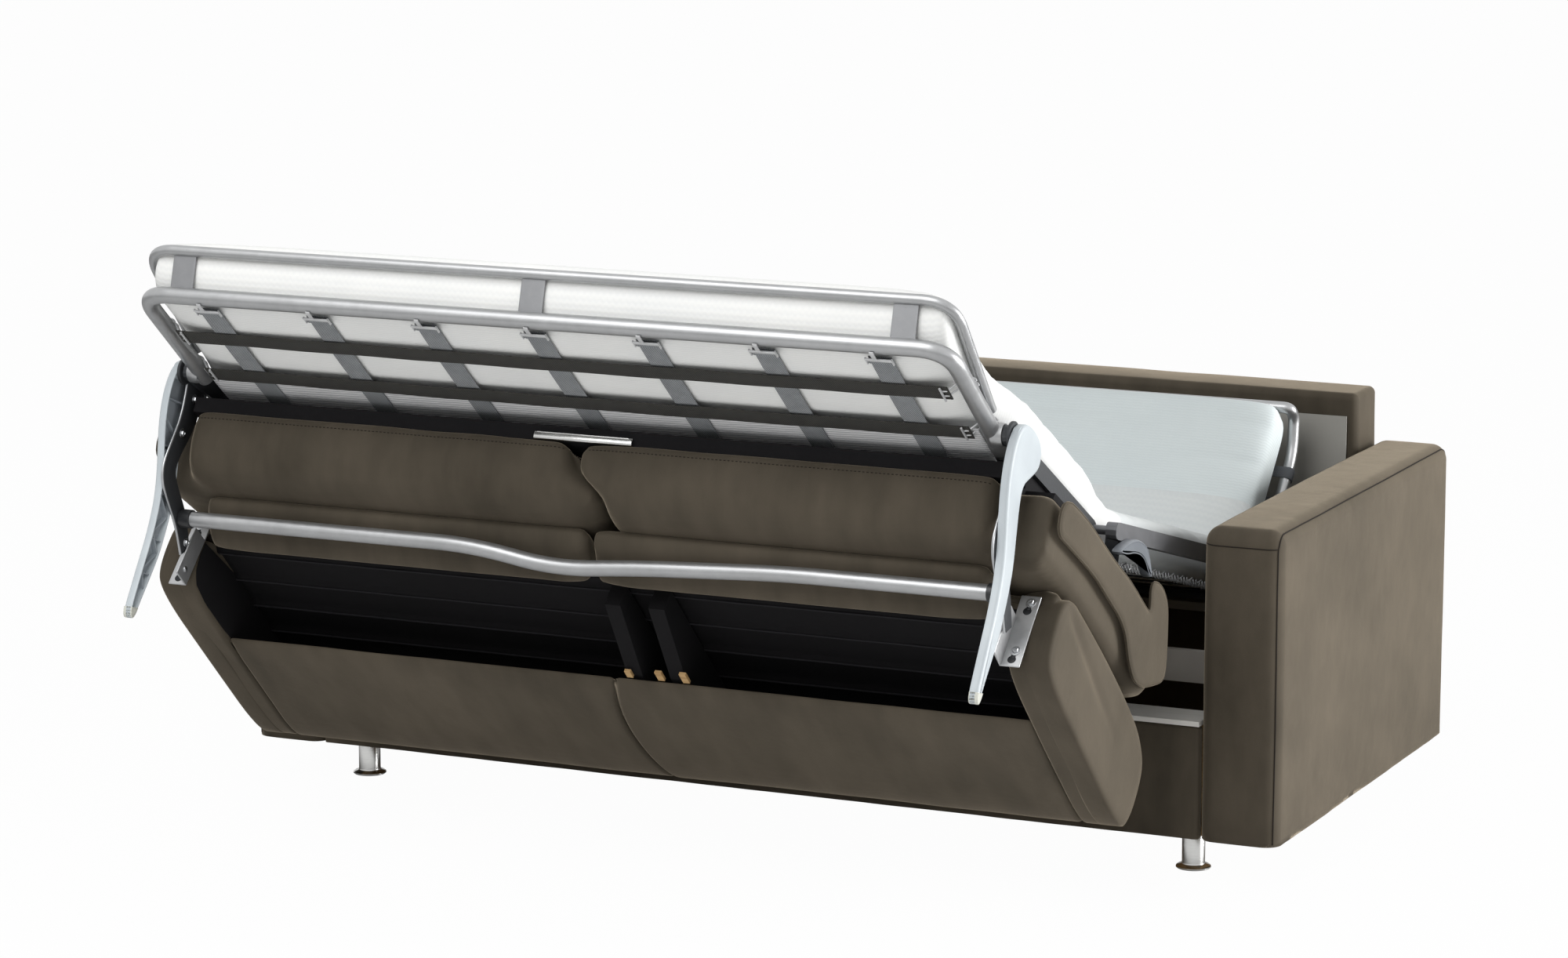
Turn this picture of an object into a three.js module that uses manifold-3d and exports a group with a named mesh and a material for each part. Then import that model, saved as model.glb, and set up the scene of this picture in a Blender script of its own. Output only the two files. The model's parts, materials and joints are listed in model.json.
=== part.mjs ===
// Sleeper sofa with a pull-out bed, half unfolded. Millimetres, +Z up, +Y towards the sofa's back, +X to the right.
// The bed has four sections in a chain: head, middle, foot and foot end. The seat is fixed under the foot section,
// and the backrest hangs from the hinge between the foot section and the foot end, with the legs of the bed.
import * as THREE from "three";
import { mergeVertices } from "three/addons/utils/BufferGeometryUtils.js";
import Module from "manifold-3d";

const wasm = await Module();
wasm.setup();

// Clearances
const seatGap = 0.3;
const pinPlay = 0.3;
const cutOver = 5;

// Sofa body
const clearWidth = 1786;
const armWidth = 150;
const armDepth = 1000;
const footHeight = 80;
const armTop = 650;
const armEdge = 28;
const paddingThickness = 15;
const boardThickness = 18;
const backTop = 752;
const backThickness = 125;
const backEdge = 12;
const liningThickness = 3;
const liningTopBand = 45;
const liningSideBand = 21;
const liningBottom = 300;

// Base between the arms
const panelSetback = 6;
const panelThickness = 25;
const panelTop = 285;
const ledgeDepth = 88;
const ledgeThickness = 9;
const floorThickness = 16;
const beamBottom = 340;
const beamTop = 398;
const beamThickness = 15;
const beamPlace = 110;

// Feet
const footRadius = 21;
const footPadRadius = 32;
const footPadHeight = 6;
const footSideInset = 43;
const footInset = 107;

// Bed frame: hinge line height of the flat bed, section lengths and the angles of the photographed pose
const bedLevel = 465;
const headLength = 350;
const middleLength = 834;
const footLength = 445;
const footEndLength = 258;
const headTilt = 48;
const middleTilt = 15;
const footTilt = 30.4;
const footEndTilt = 40.6;
const backrestTilt = 44.7;
const legTilt = 22.3;
const headHingeInset = 447;
const carrierReach = 277.2;
const carrierLead = 36.5;

// Bed frame members
const middleBarSideGap = 78;
const middleBarWidth = 20;
const middleBarHeight = 30;
const carrierGap = 4;
const carrierThickness = 8;
const carrierWidth = 40;
const carrierPinRadius = 12;
const hingePinRadius = 8;
const hubPinRadius = 10;
const eyeRadius = 20;
const crossTubeRadius = 12;
const crossTubeInset = 60;
const sidePlateThickness = 5;
const sidePlateTop = 400;
const sidePlateStart = 95;
const sidePlateBackGap = 15;
const footBarGap = 29;
const footBarWidth = 8;
const footBarHeight = 32;
const meshThickness = 3;
const meshWire = 9;
const coverThickness = 18;
const hingeCoverSize = 125;
const hoopRadius = 15;
const hoopSideGap = 21;
const hoopBend = 52;
const tubeWall = 2;
const headTubeRadius = 11;
const headTubeGap = 14;
const railRadius = 9.5;
const railLift = 71;
const railLead = 33;
const railBend = 50;
const railFoot = 36;
const strapWidth = 38;
const longStrapWidth = 24;
const strapThickness = 2.5;
const strapDrop = 9;
const railBracketInset = 81;
const railBracketWidth = 44;
const railBracketThickness = 3;

// Mattress
const mattressSideGap = 3;
const endMattressLead = 26.5;
const mattressAbove = 55;
const mattressBelow = 50;
const footMattressHeight = 103;
const mattressEdge = 26;
const mattressDraw = 22;
const mattressCrown = 5;
const channelDepth = 5;
const creaseGap = 1.5;
const foldWedge = 18.5;

const crossTubeDrop = mattressBelow + meshThickness + crossTubeRadius + 2 * seatGap;
const headTubeDrop = mattressBelow + strapThickness + headTubeRadius + 2 * seatGap;

// Seat under the foot section
const seatDepth = 716;
const seatThickness = 176;
const seatSideGap = 31;
const seatShoulderInset = 80;
const seatShoulderDepth = 84;
const legSweep = 138;
const legPocketGap = 5.4;
const seatFrameInset = 28;
const seatFrameStart = 62;
const seatRailStart = 130;
const seatFrameTop = 50;
const seatBoardThickness = 12;
const seatTop = seatFrameTop + seatBoardThickness + seatGap;
const seatRailWidth = 20;
const seatTailDrop = 100;
const seatTailEnd = 690;
const seatNotchGap = 10;
const apronThickness = 6;
const cushionSplit = 3;
const cushionDraw = 30;
const stripStart = 36;
const stripTop = 34;
const stripHeight = 28;
const stripSideGap = 2;
const handleHalfWidth = 94;
const handleThickness = 8;

// Backrest, measured from the hub along and across the back when the hub hinge is turned flat
const backrestDepth = 796;
const backrestFace = 286;
const backrestInset = 4;
const backrestWallGap = 5;
const backrestSideStart = 250;
const backrestPanelStart = 441.5;
const backrestPanelThickness = 17.7;
const backrestBoardTop = 166;
const backrestBoardThickness = 12;
const backrestLip = 754;
const rollInset = 15;
const ribHeight = 6;
const ribCount = 6;
const stileWidth = 30;
const stilePlaces = { left: 34, right: 118 };

// Arms, brackets and legs that hang from the hub
const swingArmGap = 2;
const swingArmThickness = 6;
const bracketThickness = 6;
const bracketWidth = 42;
const bracketTop = 152;
const bracketBottom = 292;
const legLength = 460;
const legThickness = 16;
const legWall = 4;
const legRib = 3;
const tubeRadius = 14;
const tubeDip = 28;
const tubeAlong = 161.5;
const tubeAcross = 206.5;

// Places across the sofa, from its clear width inwards
const halfClear = clearWidth / 2;
const backFace = armDepth - backThickness;
const sidePlateEnd = backFace - sidePlateBackGap;
const footPlaceX = halfClear - footSideInset;
const headHingePlace = armDepth - headHingeInset;
const middleBarInner = halfClear - middleBarSideGap;
const carrierPlace = middleBarInner + middleBarWidth + carrierGap;
const footBarInner = middleBarInner - footBarGap - footBarWidth;
const headTubePlace = middleBarInner - headTubeGap - headTubeRadius;
const hoopHalfWidth = footBarInner - hoopSideGap;
const railBracketPlace = hoopHalfWidth - railBracketInset;
const mattressHalfWidth = footBarInner - mattressSideGap;
const endMattressHalfWidth = hoopHalfWidth - hoopRadius;
const stripHalfWidth = footBarInner - stripSideGap;
const swingArmPlace = footBarInner + footBarWidth + swingArmGap;
const legPlace = swingArmPlace + swingArmThickness + 2 * seatGap;
const legPocketEnd = legPlace + legThickness + legPocketGap;
const seatHalfWidth = halfClear - seatSideGap;
const seatShoulderWidth = seatHalfWidth - seatShoulderInset;
const seatFrameHalfWidth = seatHalfWidth - seatFrameInset;
const backrestHalfWidth = seatHalfWidth - backrestInset;
const backrestInnerWidth = footBarInner + backrestWallGap;
const rollHalfWidth = backrestInnerWidth - rollInset;
const sides = { left: -1, right: 1 };
const radians = THREE.MathUtils.degToRad;

// Finishes
const finish = (color, roughness, metalness = 0) => new THREE.MeshStandardMaterial({ color, roughness, metalness });
const velvet = () => finish(0x5a5145, 0.9);
const greyCloth = () => finish(0x9a9894, 0.9);
const blackCloth = () => finish(0x1b1a1c, 0.95);
const whiteCloth = () => finish(0xe9ecee, 0.9);
const wood = () => finish(0xc9a877, 0.7);
const paleBoard = () => finish(0xdedcd6, 0.5);
const darkSteel = () => finish(0x55575a, 0.45, 0.8);
const silverTube = () => finish(0xa9abad, 0.35, 0.9);
const brightSteel = () => finish(0xc9cbcc, 0.25, 1);
const greyPlastic = () => finish(0xb9c0c6, 0.5);
const webbing = () => finish(0x4c4e50, 0.9);

function named(name, geometry, material) {
  const mesh = new THREE.Mesh(geometry, material);
  mesh.name = name;
  return mesh;
}

// Boolean tools
function toSolid(geometry) {
  const bare = geometry.index ? geometry.toNonIndexed() : geometry.clone();
  for (const key of Object.keys(bare.attributes)) {
    if (key !== "position") bare.deleteAttribute(key);
  }
  const merged = mergeVertices(bare, 1e-4);
  return new wasm.Manifold(new wasm.Mesh({
    numProp: 3,
    vertProperties: merged.attributes.position.array,
    triVerts: new Uint32Array(merged.index.array),
  }));
}

function fromSolid(solid) {
  const mesh = solid.getMesh();
  const geometry = new THREE.BufferGeometry();
  geometry.setAttribute("position", new THREE.BufferAttribute(new Float32Array(mesh.vertProperties), 3));
  geometry.setIndex(new THREE.BufferAttribute(new Uint32Array(mesh.triVerts), 1));
  geometry.computeVertexNormals();
  return geometry;
}

function join(...geometries) {
  return fromSolid(geometries.map(toSolid).reduce((all, next) => all.add(next)));
}

function cut(geometry, ...tools) {
  return fromSolid(tools.map(toSolid).reduce((rest, tool) => rest.subtract(tool), toSolid(geometry)));
}

// Shapes. A profile is a list of [y, z] points, and it is extruded along X.
function box(x0, x1, y0, y1, z0, z1) {
  const geometry = new THREE.BoxGeometry(x1 - x0, y1 - y0, z1 - z0);
  return geometry.translate((x0 + x1) / 2, (y0 + y1) / 2, (z0 + z1) / 2);
}

function mirrored(side, inner, outer) {
  return side < 0 ? [-outer, -inner] : [inner, outer];
}

// Rounds the corners of an outline. A point with a third value stays sharp.
function fillet(points, radius, steps = 3) {
  const rounded = [];
  const count = points.length;
  points.forEach(([y, z, sharp], i) => {
    if (sharp) {
      rounded.push([y, z]);
      return;
    }
    const here = new THREE.Vector2(y, z);
    const before = new THREE.Vector2(...points[(i + count - 1) % count].slice(0, 2));
    const after = new THREE.Vector2(...points[(i + 1) % count].slice(0, 2));
    const reach = Math.min(radius, here.distanceTo(before) / 2.1, here.distanceTo(after) / 2.1);
    const start = here.clone().lerp(before, reach / here.distanceTo(before));
    const end = here.clone().lerp(after, reach / here.distanceTo(after));
    for (const point of new THREE.QuadraticBezierCurve(start, here, end).getPoints(steps)) {
      rounded.push([point.x, point.y]);
    }
  });
  return rounded;
}

function plate(profile, x0, x1) {
  const shape = new THREE.Shape(profile.map(([y, z]) => new THREE.Vector2(y, z)));
  const geometry = new THREE.ExtrudeGeometry(shape, { depth: x1 - x0, bevelEnabled: false });
  const axes = new THREE.Matrix4().makeBasis(
    new THREE.Vector3(0, 1, 0), new THREE.Vector3(0, 0, 1), new THREE.Vector3(1, 0, 0));
  return geometry.applyMatrix4(axes).translate(x0, 0, 0);
}

function circle(y, z, radius, count = 20) {
  return Array.from({ length: count }, (_, i) => {
    const turn = (2 * Math.PI * i) / count;
    return [y + radius * Math.cos(turn), z + radius * Math.sin(turn)];
  });
}

function rod(y, z, radius, x0, x1, count = 16) {
  return plate(circle(y, z, radius, count), x0, x1);
}

// A strip of varying width along a line of points
function ribbon(spine, widths) {
  const left = [];
  const right = [];
  spine.forEach(([y, z], i) => {
    const before = spine[Math.max(i - 1, 0)];
    const after = spine[Math.min(i + 1, spine.length - 1)];
    const across = new THREE.Vector2(before[1] - after[1], after[0] - before[0]).setLength(widths[i] / 2);
    left.push([y + across.x, z + across.y]);
    right.unshift([y - across.x, z - across.y]);
  });
  return [...right, ...left];
}

// A path that passes its points one by one, so that straight runs need no points between
class PointPath extends THREE.Curve {
  constructor(points) {
    super();
    this.points = points;
  }

  getPoint(t, target = new THREE.Vector3()) {
    const place = t * (this.points.length - 1);
    const i = Math.min(Math.round(place), this.points.length - 1);
    return target.copy(this.points[i]);
  }

  getTangentAt(t, target = new THREE.Vector3()) {
    const last = this.points.length - 1;
    const i = Math.round(t * last);
    const before = this.points[Math.max(i - 1, 0)];
    const after = this.points[Math.min(i + 1, last)];
    const here = this.points[i];
    const into = i > 0 ? here.clone().sub(before).normalize() : new THREE.Vector3();
    const out = i < last ? after.clone().sub(here).normalize() : new THREE.Vector3();
    return target.copy(into.add(out)).normalize();
  }

  getSpacedPoints(divisions) {
    return this.getPoints(divisions);
  }
}

// A round tube along corner points, each corner rounded. A wall makes it hollow, with open ends.
function tube(corners, radius, wall, bend, steps = 5, count = 12) {
  const points = corners.map((corner) => new THREE.Vector3(...corner));
  const route = [points[0]];
  for (let i = 1; i < points.length - 1; i++) {
    const reach = Math.min(bend, points[i].distanceTo(points[i - 1]) / 2.1, points[i].distanceTo(points[i + 1]) / 2.1);
    const start = points[i].clone().lerp(points[i - 1], reach / points[i].distanceTo(points[i - 1]));
    const end = points[i].clone().lerp(points[i + 1], reach / points[i].distanceTo(points[i + 1]));
    route.push(...new THREE.QuadraticBezierCurve3(start, points[i], end).getPoints(steps));
  }
  route.push(points[points.length - 1]);
  const section = new THREE.Shape(circle(0, 0, radius, count).map(([y, z]) => new THREE.Vector2(y, z)));
  if (wall > 0) {
    section.holes.push(new THREE.Path(circle(0, 0, radius - wall, count).map(([y, z]) => new THREE.Vector2(y, z))));
  }
  const extrudePath = new PointPath(route);
  return new THREE.ExtrudeGeometry(section, { steps: route.length - 1, extrudePath, bevelEnabled: false });
}

// A padded solid: the profile is drawn in towards its ends along X
function drawnIn(profile, distance) {
  const count = profile.length;
  return profile.map(([y, z], i) => {
    const [by, bz] = profile[(i + count - 1) % count];
    const [ay, az] = profile[(i + 1) % count];
    const inward = new THREE.Vector2(bz - az, ay - by).setLength(distance);
    return [y + inward.x, z + inward.y];
  });
}

// Triangles over a closed outline that use every point, cutting off the ear with the widest least angle first
function capFaces(points) {
  const ring = points.map((_, i) => i);
  const faces = [];
  const area = (a, b, c) => (b[0] - a[0]) * (c[1] - a[1]) - (b[1] - a[1]) * (c[0] - a[0]);
  const longest = (a, b, c) => Math.max(Math.hypot(a[0] - b[0], a[1] - b[1]), Math.hypot(b[0] - c[0], b[1] - c[1]),
    Math.hypot(c[0] - a[0], c[1] - a[1]));
  while (ring.length > 3) {
    let best = 0;
    let bestShape = -Infinity;
    for (let i = 0; i < ring.length; i++) {
      const [a, b, c] = [-1, 0, 1].map((step) => points[ring[(i + step + ring.length) % ring.length]]);
      const twice = area(a, b, c);
      const blocked = twice > 0 && ring.some((k) => {
        const p = points[k];
        return p !== a && p !== b && p !== c && area(a, b, p) >= 0 && area(b, c, p) >= 0 && area(c, a, p) >= 0;
      });
      const shape = blocked ? -Infinity : twice / longest(a, b, c) ** 2;
      if (shape > bestShape) {
        best = i;
        bestShape = shape;
      }
    }
    faces.push([-1, 0, 1].map((step) => ring[(best + step + ring.length) % ring.length]));
    ring.splice(best, 1);
  }
  faces.push(ring);
  return faces;
}

function pad(profile, x0, x1, draw, rings = 3) {
  const sections = [];
  for (let i = 0; i <= rings; i++) {
    const turn = (Math.PI / 2) * (i / rings);
    sections.push([x0 + draw * (1 - Math.cos(turn)), draw * (1 - Math.sin(turn))]);
  }
  for (let i = rings; i >= 0; i--) {
    const turn = (Math.PI / 2) * (i / rings);
    sections.push([x1 - draw * (1 - Math.cos(turn)), draw * (1 - Math.sin(turn))]);
  }
  const count = profile.length;
  const positions = [];
  for (const [x, inset] of sections) {
    for (const [y, z] of drawnIn(profile, inset)) positions.push(x, y, z);
  }
  const faces = [];
  for (let s = 0; s < sections.length - 1; s++) {
    for (let i = 0; i < count; i++) {
      const next = (i + 1) % count;
      const a = s * count + i;
      const b = s * count + next;
      faces.push(a, b, b + count, a, b + count, a + count);
    }
  }
  const last = (sections.length - 1) * count;
  for (const [a, b, c] of capFaces(drawnIn(profile, draw))) {
    faces.push(a, c, b);
    faces.push(last + a, last + b, last + c);
  }
  const geometry = new THREE.BufferGeometry();
  geometry.setAttribute("position", new THREE.BufferAttribute(new Float32Array(positions), 3));
  geometry.setIndex(faces);
  geometry.computeVertexNormals();
  return geometry;
}

// A crowned edge with sewn channels from one point to the other, both left out
function channels(from, to, count, depth, crown) {
  const points = [];
  const [y0, z0] = from;
  const [y1, z1] = to;
  const lift = new THREE.Vector2(z0 - z1, y1 - y0).normalize();
  for (let i = 1; i < 2 * count; i++) {
    const share = i / (2 * count);
    const rise = crown * Math.sin(Math.PI * share) - (i % 2 === 0 ? depth : 0);
    points.push([y0 + (y1 - y0) * share + lift.x * rise, z0 + (z1 - z0) * share + lift.y * rise, true]);
  }
  return points;
}

function scaled(shares, alongSize, acrossSize) {
  return shares.map(([along, across]) => [along * alongSize, across * acrossSize]);
}

// Sofa arms
function armProfile(side, grow) {
  const [x0, x1] = mirrored(side, halfClear + grow, halfClear + armWidth - grow);
  return { x0, x1, y0: grow, y1: armDepth - grow, z0: footHeight, z1: armTop - grow };
}

function armCover(side) {
  const outer = armProfile(side, 0);
  const width = outer.x1 - outer.x0;
  const height = outer.z1 - outer.z0;
  const section = fillet([[0, 0], [width, 0], [width, height], [0, height]], armEdge, 4)
    .map(([x, z]) => new THREE.Vector2(x, z));
  const bevel = armEdge / 3;
  const geometry = new THREE.ExtrudeGeometry(new THREE.Shape(section), {
    depth: armDepth - 2 * bevel, bevelThickness: bevel, bevelSize: bevel, bevelOffset: -bevel, bevelSegments: 2,
  });
  const body = geometry.rotateX(Math.PI / 2).translate(outer.x0, armDepth - bevel, outer.z0);
  const inner = armProfile(side, paddingThickness);
  return cut(body, box(inner.x0, inner.x1, inner.y0, inner.y1, footHeight - cutOver, inner.z1));
}

function armFrame(side) {
  const outer = armProfile(side, paddingThickness + seatGap);
  const inner = armProfile(side, paddingThickness + seatGap + boardThickness);
  return cut(
    box(outer.x0, outer.x1, outer.y0, outer.y1, footHeight, outer.z1),
    box(inner.x0, inner.x1, inner.y0, inner.y1, footHeight - cutOver, inner.z1),
  );
}

// Sofa back
function backBlock(grow, bottom) {
  const half = halfClear - seatGap - grow;
  return [-half, half, backFace + grow, armDepth - grow, bottom, backTop - grow];
}

function backCover() {
  const [x0, x1, y0, y1, z0, z1] = backBlock(0, footHeight);
  const profile = fillet([[y0, z0], [y1, z0], [y1, z1], [y0, z1]], backEdge);
  return cut(plate(profile, x0, x1), box(...backBlock(paddingThickness, footHeight - cutOver)));
}

function backFrame() {
  const grow = paddingThickness + seatGap;
  return cut(box(...backBlock(grow, footHeight)), box(...backBlock(grow + boardThickness, footHeight - cutOver)));
}

function backLining() {
  const half = halfClear - liningSideBand;
  const face = backFace - seatGap;
  return box(-half, half, face - liningThickness, face, liningBottom, backTop - liningTopBand);
}

// Base between the arms
function frontPanel() {
  const half = halfClear - seatGap;
  const y1 = panelSetback + panelThickness;
  const profile = fillet([[panelSetback, footHeight], [y1, footHeight], [y1, panelTop], [panelSetback, panelTop]], panelSetback);
  return plate(profile, -half, half);
}

function frontLedge() {
  const half = halfClear - seatGap;
  const z0 = panelTop + seatGap;
  return box(-half, half, panelSetback, panelSetback + ledgeDepth, z0, z0 + ledgeThickness);
}

function floorBoard() {
  const half = halfClear - seatGap;
  const y0 = panelSetback + panelThickness + seatGap;
  return box(-half, half, y0, backFace - seatGap, footHeight, footHeight + floorThickness);
}

function frontBeam() {
  const half = halfClear - sidePlateThickness - 2 * seatGap;
  return box(-half, half, beamPlace, beamPlace + beamThickness, beamBottom, beamTop);
}

const carrierPivot = { y: headHingePlace - carrierLead, z: bedLevel - carrierReach };

function sidePlate(side) {
  const [x0, x1] = mirrored(side, halfClear - seatGap - sidePlateThickness, halfClear - seatGap);
  const profile = fillet([
    [sidePlateStart, panelTop + ledgeThickness + 2 * seatGap], [sidePlateEnd / 2, footHeight + floorThickness + seatGap],
    [sidePlateEnd, footHeight + floorThickness + seatGap], [sidePlateEnd, carrierPivot.z + carrierWidth],
    [sidePlateEnd / 2, beamTop], [sidePlateStart, sidePlateTop],
  ], carrierWidth / 3);
  const [p0, p1] = mirrored(side, carrierPlace - sidePlateThickness, halfClear - seatGap);
  return join(plate(profile, x0, x1), rod(carrierPivot.y, carrierPivot.z, carrierPinRadius, p0, p1));
}

function foot() {
  const profile = [
    [0, 0], [footPadRadius - footPadHeight / 3, 0], [footPadRadius, footPadHeight / 3],
    [footPadRadius, footPadHeight - footPadHeight / 4], [footPadRadius - footPadHeight / 3, footPadHeight],
    [footRadius, footPadHeight], [footRadius, footHeight - seatGap], [0, footHeight - seatGap],
  ].map(([r, z]) => new THREE.Vector2(r, z));
  return new THREE.LatheGeometry(profile, 16).rotateX(Math.PI / 2);
}

// Middle section, measured from the head hinge with the bed flat
function middleBar(side) {
  const [x0, x1] = mirrored(side, middleBarInner, middleBarInner + middleBarWidth);
  const half = middleBarHeight / 2;
  const bar = plate(fillet([
    [-middleLength - half, -half], [half, -half], [half, half], [-middleLength - half, half],
  ], half), x0, x1);
  const [c0, c1] = mirrored(side, carrierPlace, carrierPlace + carrierThickness);
  const carrier = plate(ribbon([[0, half], [carrierLead / 2, -carrierReach / 2], [carrierLead, -carrierReach - carrierWidth / 2]],
    [carrierWidth, carrierWidth, carrierWidth]), c0, c1);
  const [b0, b1] = mirrored(side, middleBarInner + middleBarWidth / 2, carrierPlace + carrierThickness / 2);
  const spacer = rod(0, 0, half - meshThickness, b0, b1);
  const [h0, h1] = mirrored(side, carrierPlace - cutOver, carrierPlace + carrierThickness + cutOver);
  const hole = rod(carrierLead, -carrierReach, carrierPinRadius + pinPlay, h0, h1);
  const [p0, p1] = mirrored(side, headTubePlace - headTubeRadius, middleBarInner + middleBarWidth / 2);
  const headPin = rod(0, 0, hingePinRadius, p0, p1);
  const [q0, q1] = mirrored(side, footBarInner, middleBarInner + middleBarWidth / 2);
  const footPin = rod(-middleLength, 0, hingePinRadius, q0, q1);
  return cut(join(bar, carrier, spacer, headPin, footPin), hole);
}

function middleCrossTube(place) {
  const end = middleBarInner - seatGap;
  const hanger = (side) => {
    const [x0, x1] = mirrored(side, end - 2 * crossTubeRadius, end);
    return box(x0, x1, place - crossTubeRadius / 2, place + crossTubeRadius / 2, -crossTubeDrop, 0);
  };
  const outside = join(rod(place, -crossTubeDrop, crossTubeRadius, -end, end, 12), hanger(-1), hanger(1));
  return cut(outside, rod(place, -crossTubeDrop, crossTubeRadius - tubeWall, -end - cutOver, end + cutOver, 12));
}

function springMesh() {
  const y0 = -middleLength + crossTubeInset - crossTubeRadius;
  const y1 = -crossTubeInset + crossTubeRadius;
  const half = mattressHalfWidth - mattressEdge;
  const top = -mattressBelow - seatGap;
  const columns = 8;
  const rows = 5;
  const stepX = (2 * half - meshWire) / columns;
  const stepY = (y1 - y0 - meshWire) / rows;
  const low = top - meshThickness;
  const holes = [];
  for (let i = 0; i < columns; i++) {
    for (let j = 0; j < rows; j++) {
      const hx = -half + meshWire + i * stepX;
      const hy = y0 + meshWire + j * stepY;
      holes.push(box(hx, hx + stepX - meshWire, hy, hy + stepY - meshWire, low - cutOver, top + cutOver));
    }
  }
  return cut(box(-half, half, y0, y1, low, top), ...holes);
}

const hingeCoverShares = [
  [-0.34, -0.3], [0.29, -0.05], [0.79, -0.09], [1, -0.28], [1.18, -0.55], [0.67, -0.48], [0.31, -0.37],
];

function hingeCover(side) {
  const [x0, x1] = mirrored(side, middleBarInner + middleBarWidth + seatGap, middleBarInner + middleBarWidth + coverThickness);
  const profile = scaled(hingeCoverShares, hingeCoverSize, hingeCoverSize).map(([y, z]) => [y - middleLength, z]);
  return plate(fillet(profile, meshWire), x0, x1);
}

const fold = (height, degrees) => height * Math.tan(radians(degrees));

function mattressMiddle() {
  const top = mattressAbove;
  const bottom = -mattressBelow;
  const rear = -creaseGap - fold(top, (headTilt + middleTilt) / 2);
  const frontLow = -middleLength + crossTubeInset / 2;
  const frontHigh = frontLow + fold(top - bottom, foldWedge);
  const lift = footMattressHeight - mattressAbove;
  const profile = [
    [frontLow, bottom], [-creaseGap, bottom], [-creaseGap, 0], [rear, top],
    ...channels([rear, top], [frontHigh + footMattressHeight, top], 6, channelDepth, 0),
    [frontHigh + footMattressHeight, top], [frontHigh + lift / 2, top + lift / 2],
    [frontHigh, top + lift / 3],
  ];
  return pad(fillet(profile, mattressEdge / 2, 2), -mattressHalfWidth, mattressHalfWidth, mattressDraw);
}

// Head section, measured from the head hinge
function headHoop() {
  const x = headTubePlace;
  const end = headLength;
  const drop = -headTubeDrop;
  const path = [
    [-x, crossTubeInset / 2, drop / 3], [-x, 2 * crossTubeInset, drop], [-x, end - crossTubeInset, drop],
    [-x, end, drop / 3], [-x, end, headTubeRadius], [x, end, headTubeRadius], [x, end, drop / 3],
    [x, end - crossTubeInset, drop], [x, 2 * crossTubeInset, drop], [x, crossTubeInset / 2, drop / 3],
  ];
  const eyes = Object.values(sides).map((side) => {
    const [x0, x1] = mirrored(side, x - headTubeRadius, x + headTubeRadius);
    const arm = ribbon([[-eyeRadius * 0.9, 0], [0, 0], [crossTubeInset / 2 + headTubeRadius, drop / 3]],
      [eyeRadius, 2 * eyeRadius * 0.9, 2 * headTubeRadius]);
    return plate(fillet(arm, eyeRadius / 2), x0, x1);
  });
  const holes = Object.values(sides).map((side) => {
    const [x0, x1] = mirrored(side, x - eyeRadius, x + eyeRadius);
    return rod(0, 0, hingePinRadius + pinPlay, x0, x1);
  });
  return cut(join(tube(path, headTubeRadius, 0, crossTubeInset / 2, 2, 8), ...eyes), ...holes);
}

// Straps, their ends and places as shares of the head section's length and half width
const headLongStrapShares = [0.5, 0.7];
const headCrossStrapEnds = [0.25, 0.85];
const headCrossStrapShares = [-0.75, -0.38, 0, 0.38, 0.75];

function headWebbing() {
  const half = headTubePlace + headTubeRadius / 2;
  const top = -mattressBelow - seatGap;
  const long = headLongStrapShares.map((share) => {
    const y = share * headLength;
    return box(-half, half, y - longStrapWidth / 2, y + longStrapWidth / 2, top - strapThickness, top);
  });
  const under = top - strapThickness / 2;
  const [y0, y1] = headCrossStrapEnds.map((share) => share * headLength);
  const cross = headCrossStrapShares.map((share) => {
    const x = share * half;
    return box(x - strapWidth / 2, x + strapWidth / 2, y0, y1, under - strapThickness, under);
  });
  return join(...long, ...cross);
}

function mattressHead() {
  const top = mattressAbove;
  const bottom = -mattressBelow;
  const front = creaseGap + fold(top, (headTilt + middleTilt) / 2);
  const end = headLength - headTubeRadius - seatGap;
  const profile = [
    [creaseGap, bottom], [end, bottom], [end, top],
    ...channels([end, top], [front, top], 4, channelDepth, mattressCrown),
    [front, top], [creaseGap, 0],
  ];
  return pad(fillet(profile, mattressEdge / 2, 2), -mattressHalfWidth, mattressHalfWidth, mattressDraw);
}

// Foot section, measured from the hub, with the hinge to the middle section at footLength
function footBar(side) {
  const [x0, x1] = mirrored(side, footBarInner, footBarInner + footBarWidth);
  const half = footBarHeight / 2;
  const bar = plate(fillet([
    [-half, -half], [footLength + half, -half], [footLength + half, half], [-half, half],
  ], half), x0, x1);
  const [h0, h1] = mirrored(side, footBarInner - cutOver, footBarInner + footBarWidth + cutOver);
  const [p0, p1] = mirrored(side, hoopHalfWidth + hoopRadius, legPlace + legThickness - legWall - 2 * seatGap);
  return join(
    cut(bar, rod(footLength, 0, hingePinRadius + pinPlay, h0, h1)),
    rod(0, 0, hubPinRadius, p0, p1),
  );
}

function mattressFoot() {
  const start = eyeRadius + mattressEdge / 4;
  const low = creaseGap + seatGap;
  const high = footMattressHeight;
  const end = footLength - 3 * creaseGap;
  const profile = [
    [start, low], [end, low], [end - fold(high - low, foldWedge), high],
    ...channels([end - fold(high - low, foldWedge), high], [start, high], 4, channelDepth, mattressCrown),
    [start, high],
  ];
  return pad(fillet(profile, mattressEdge / 2, 2), -mattressHalfWidth, mattressHalfWidth, mattressDraw);
}

const seatFrameEnd = footLength - 4 * creaseGap;

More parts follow.
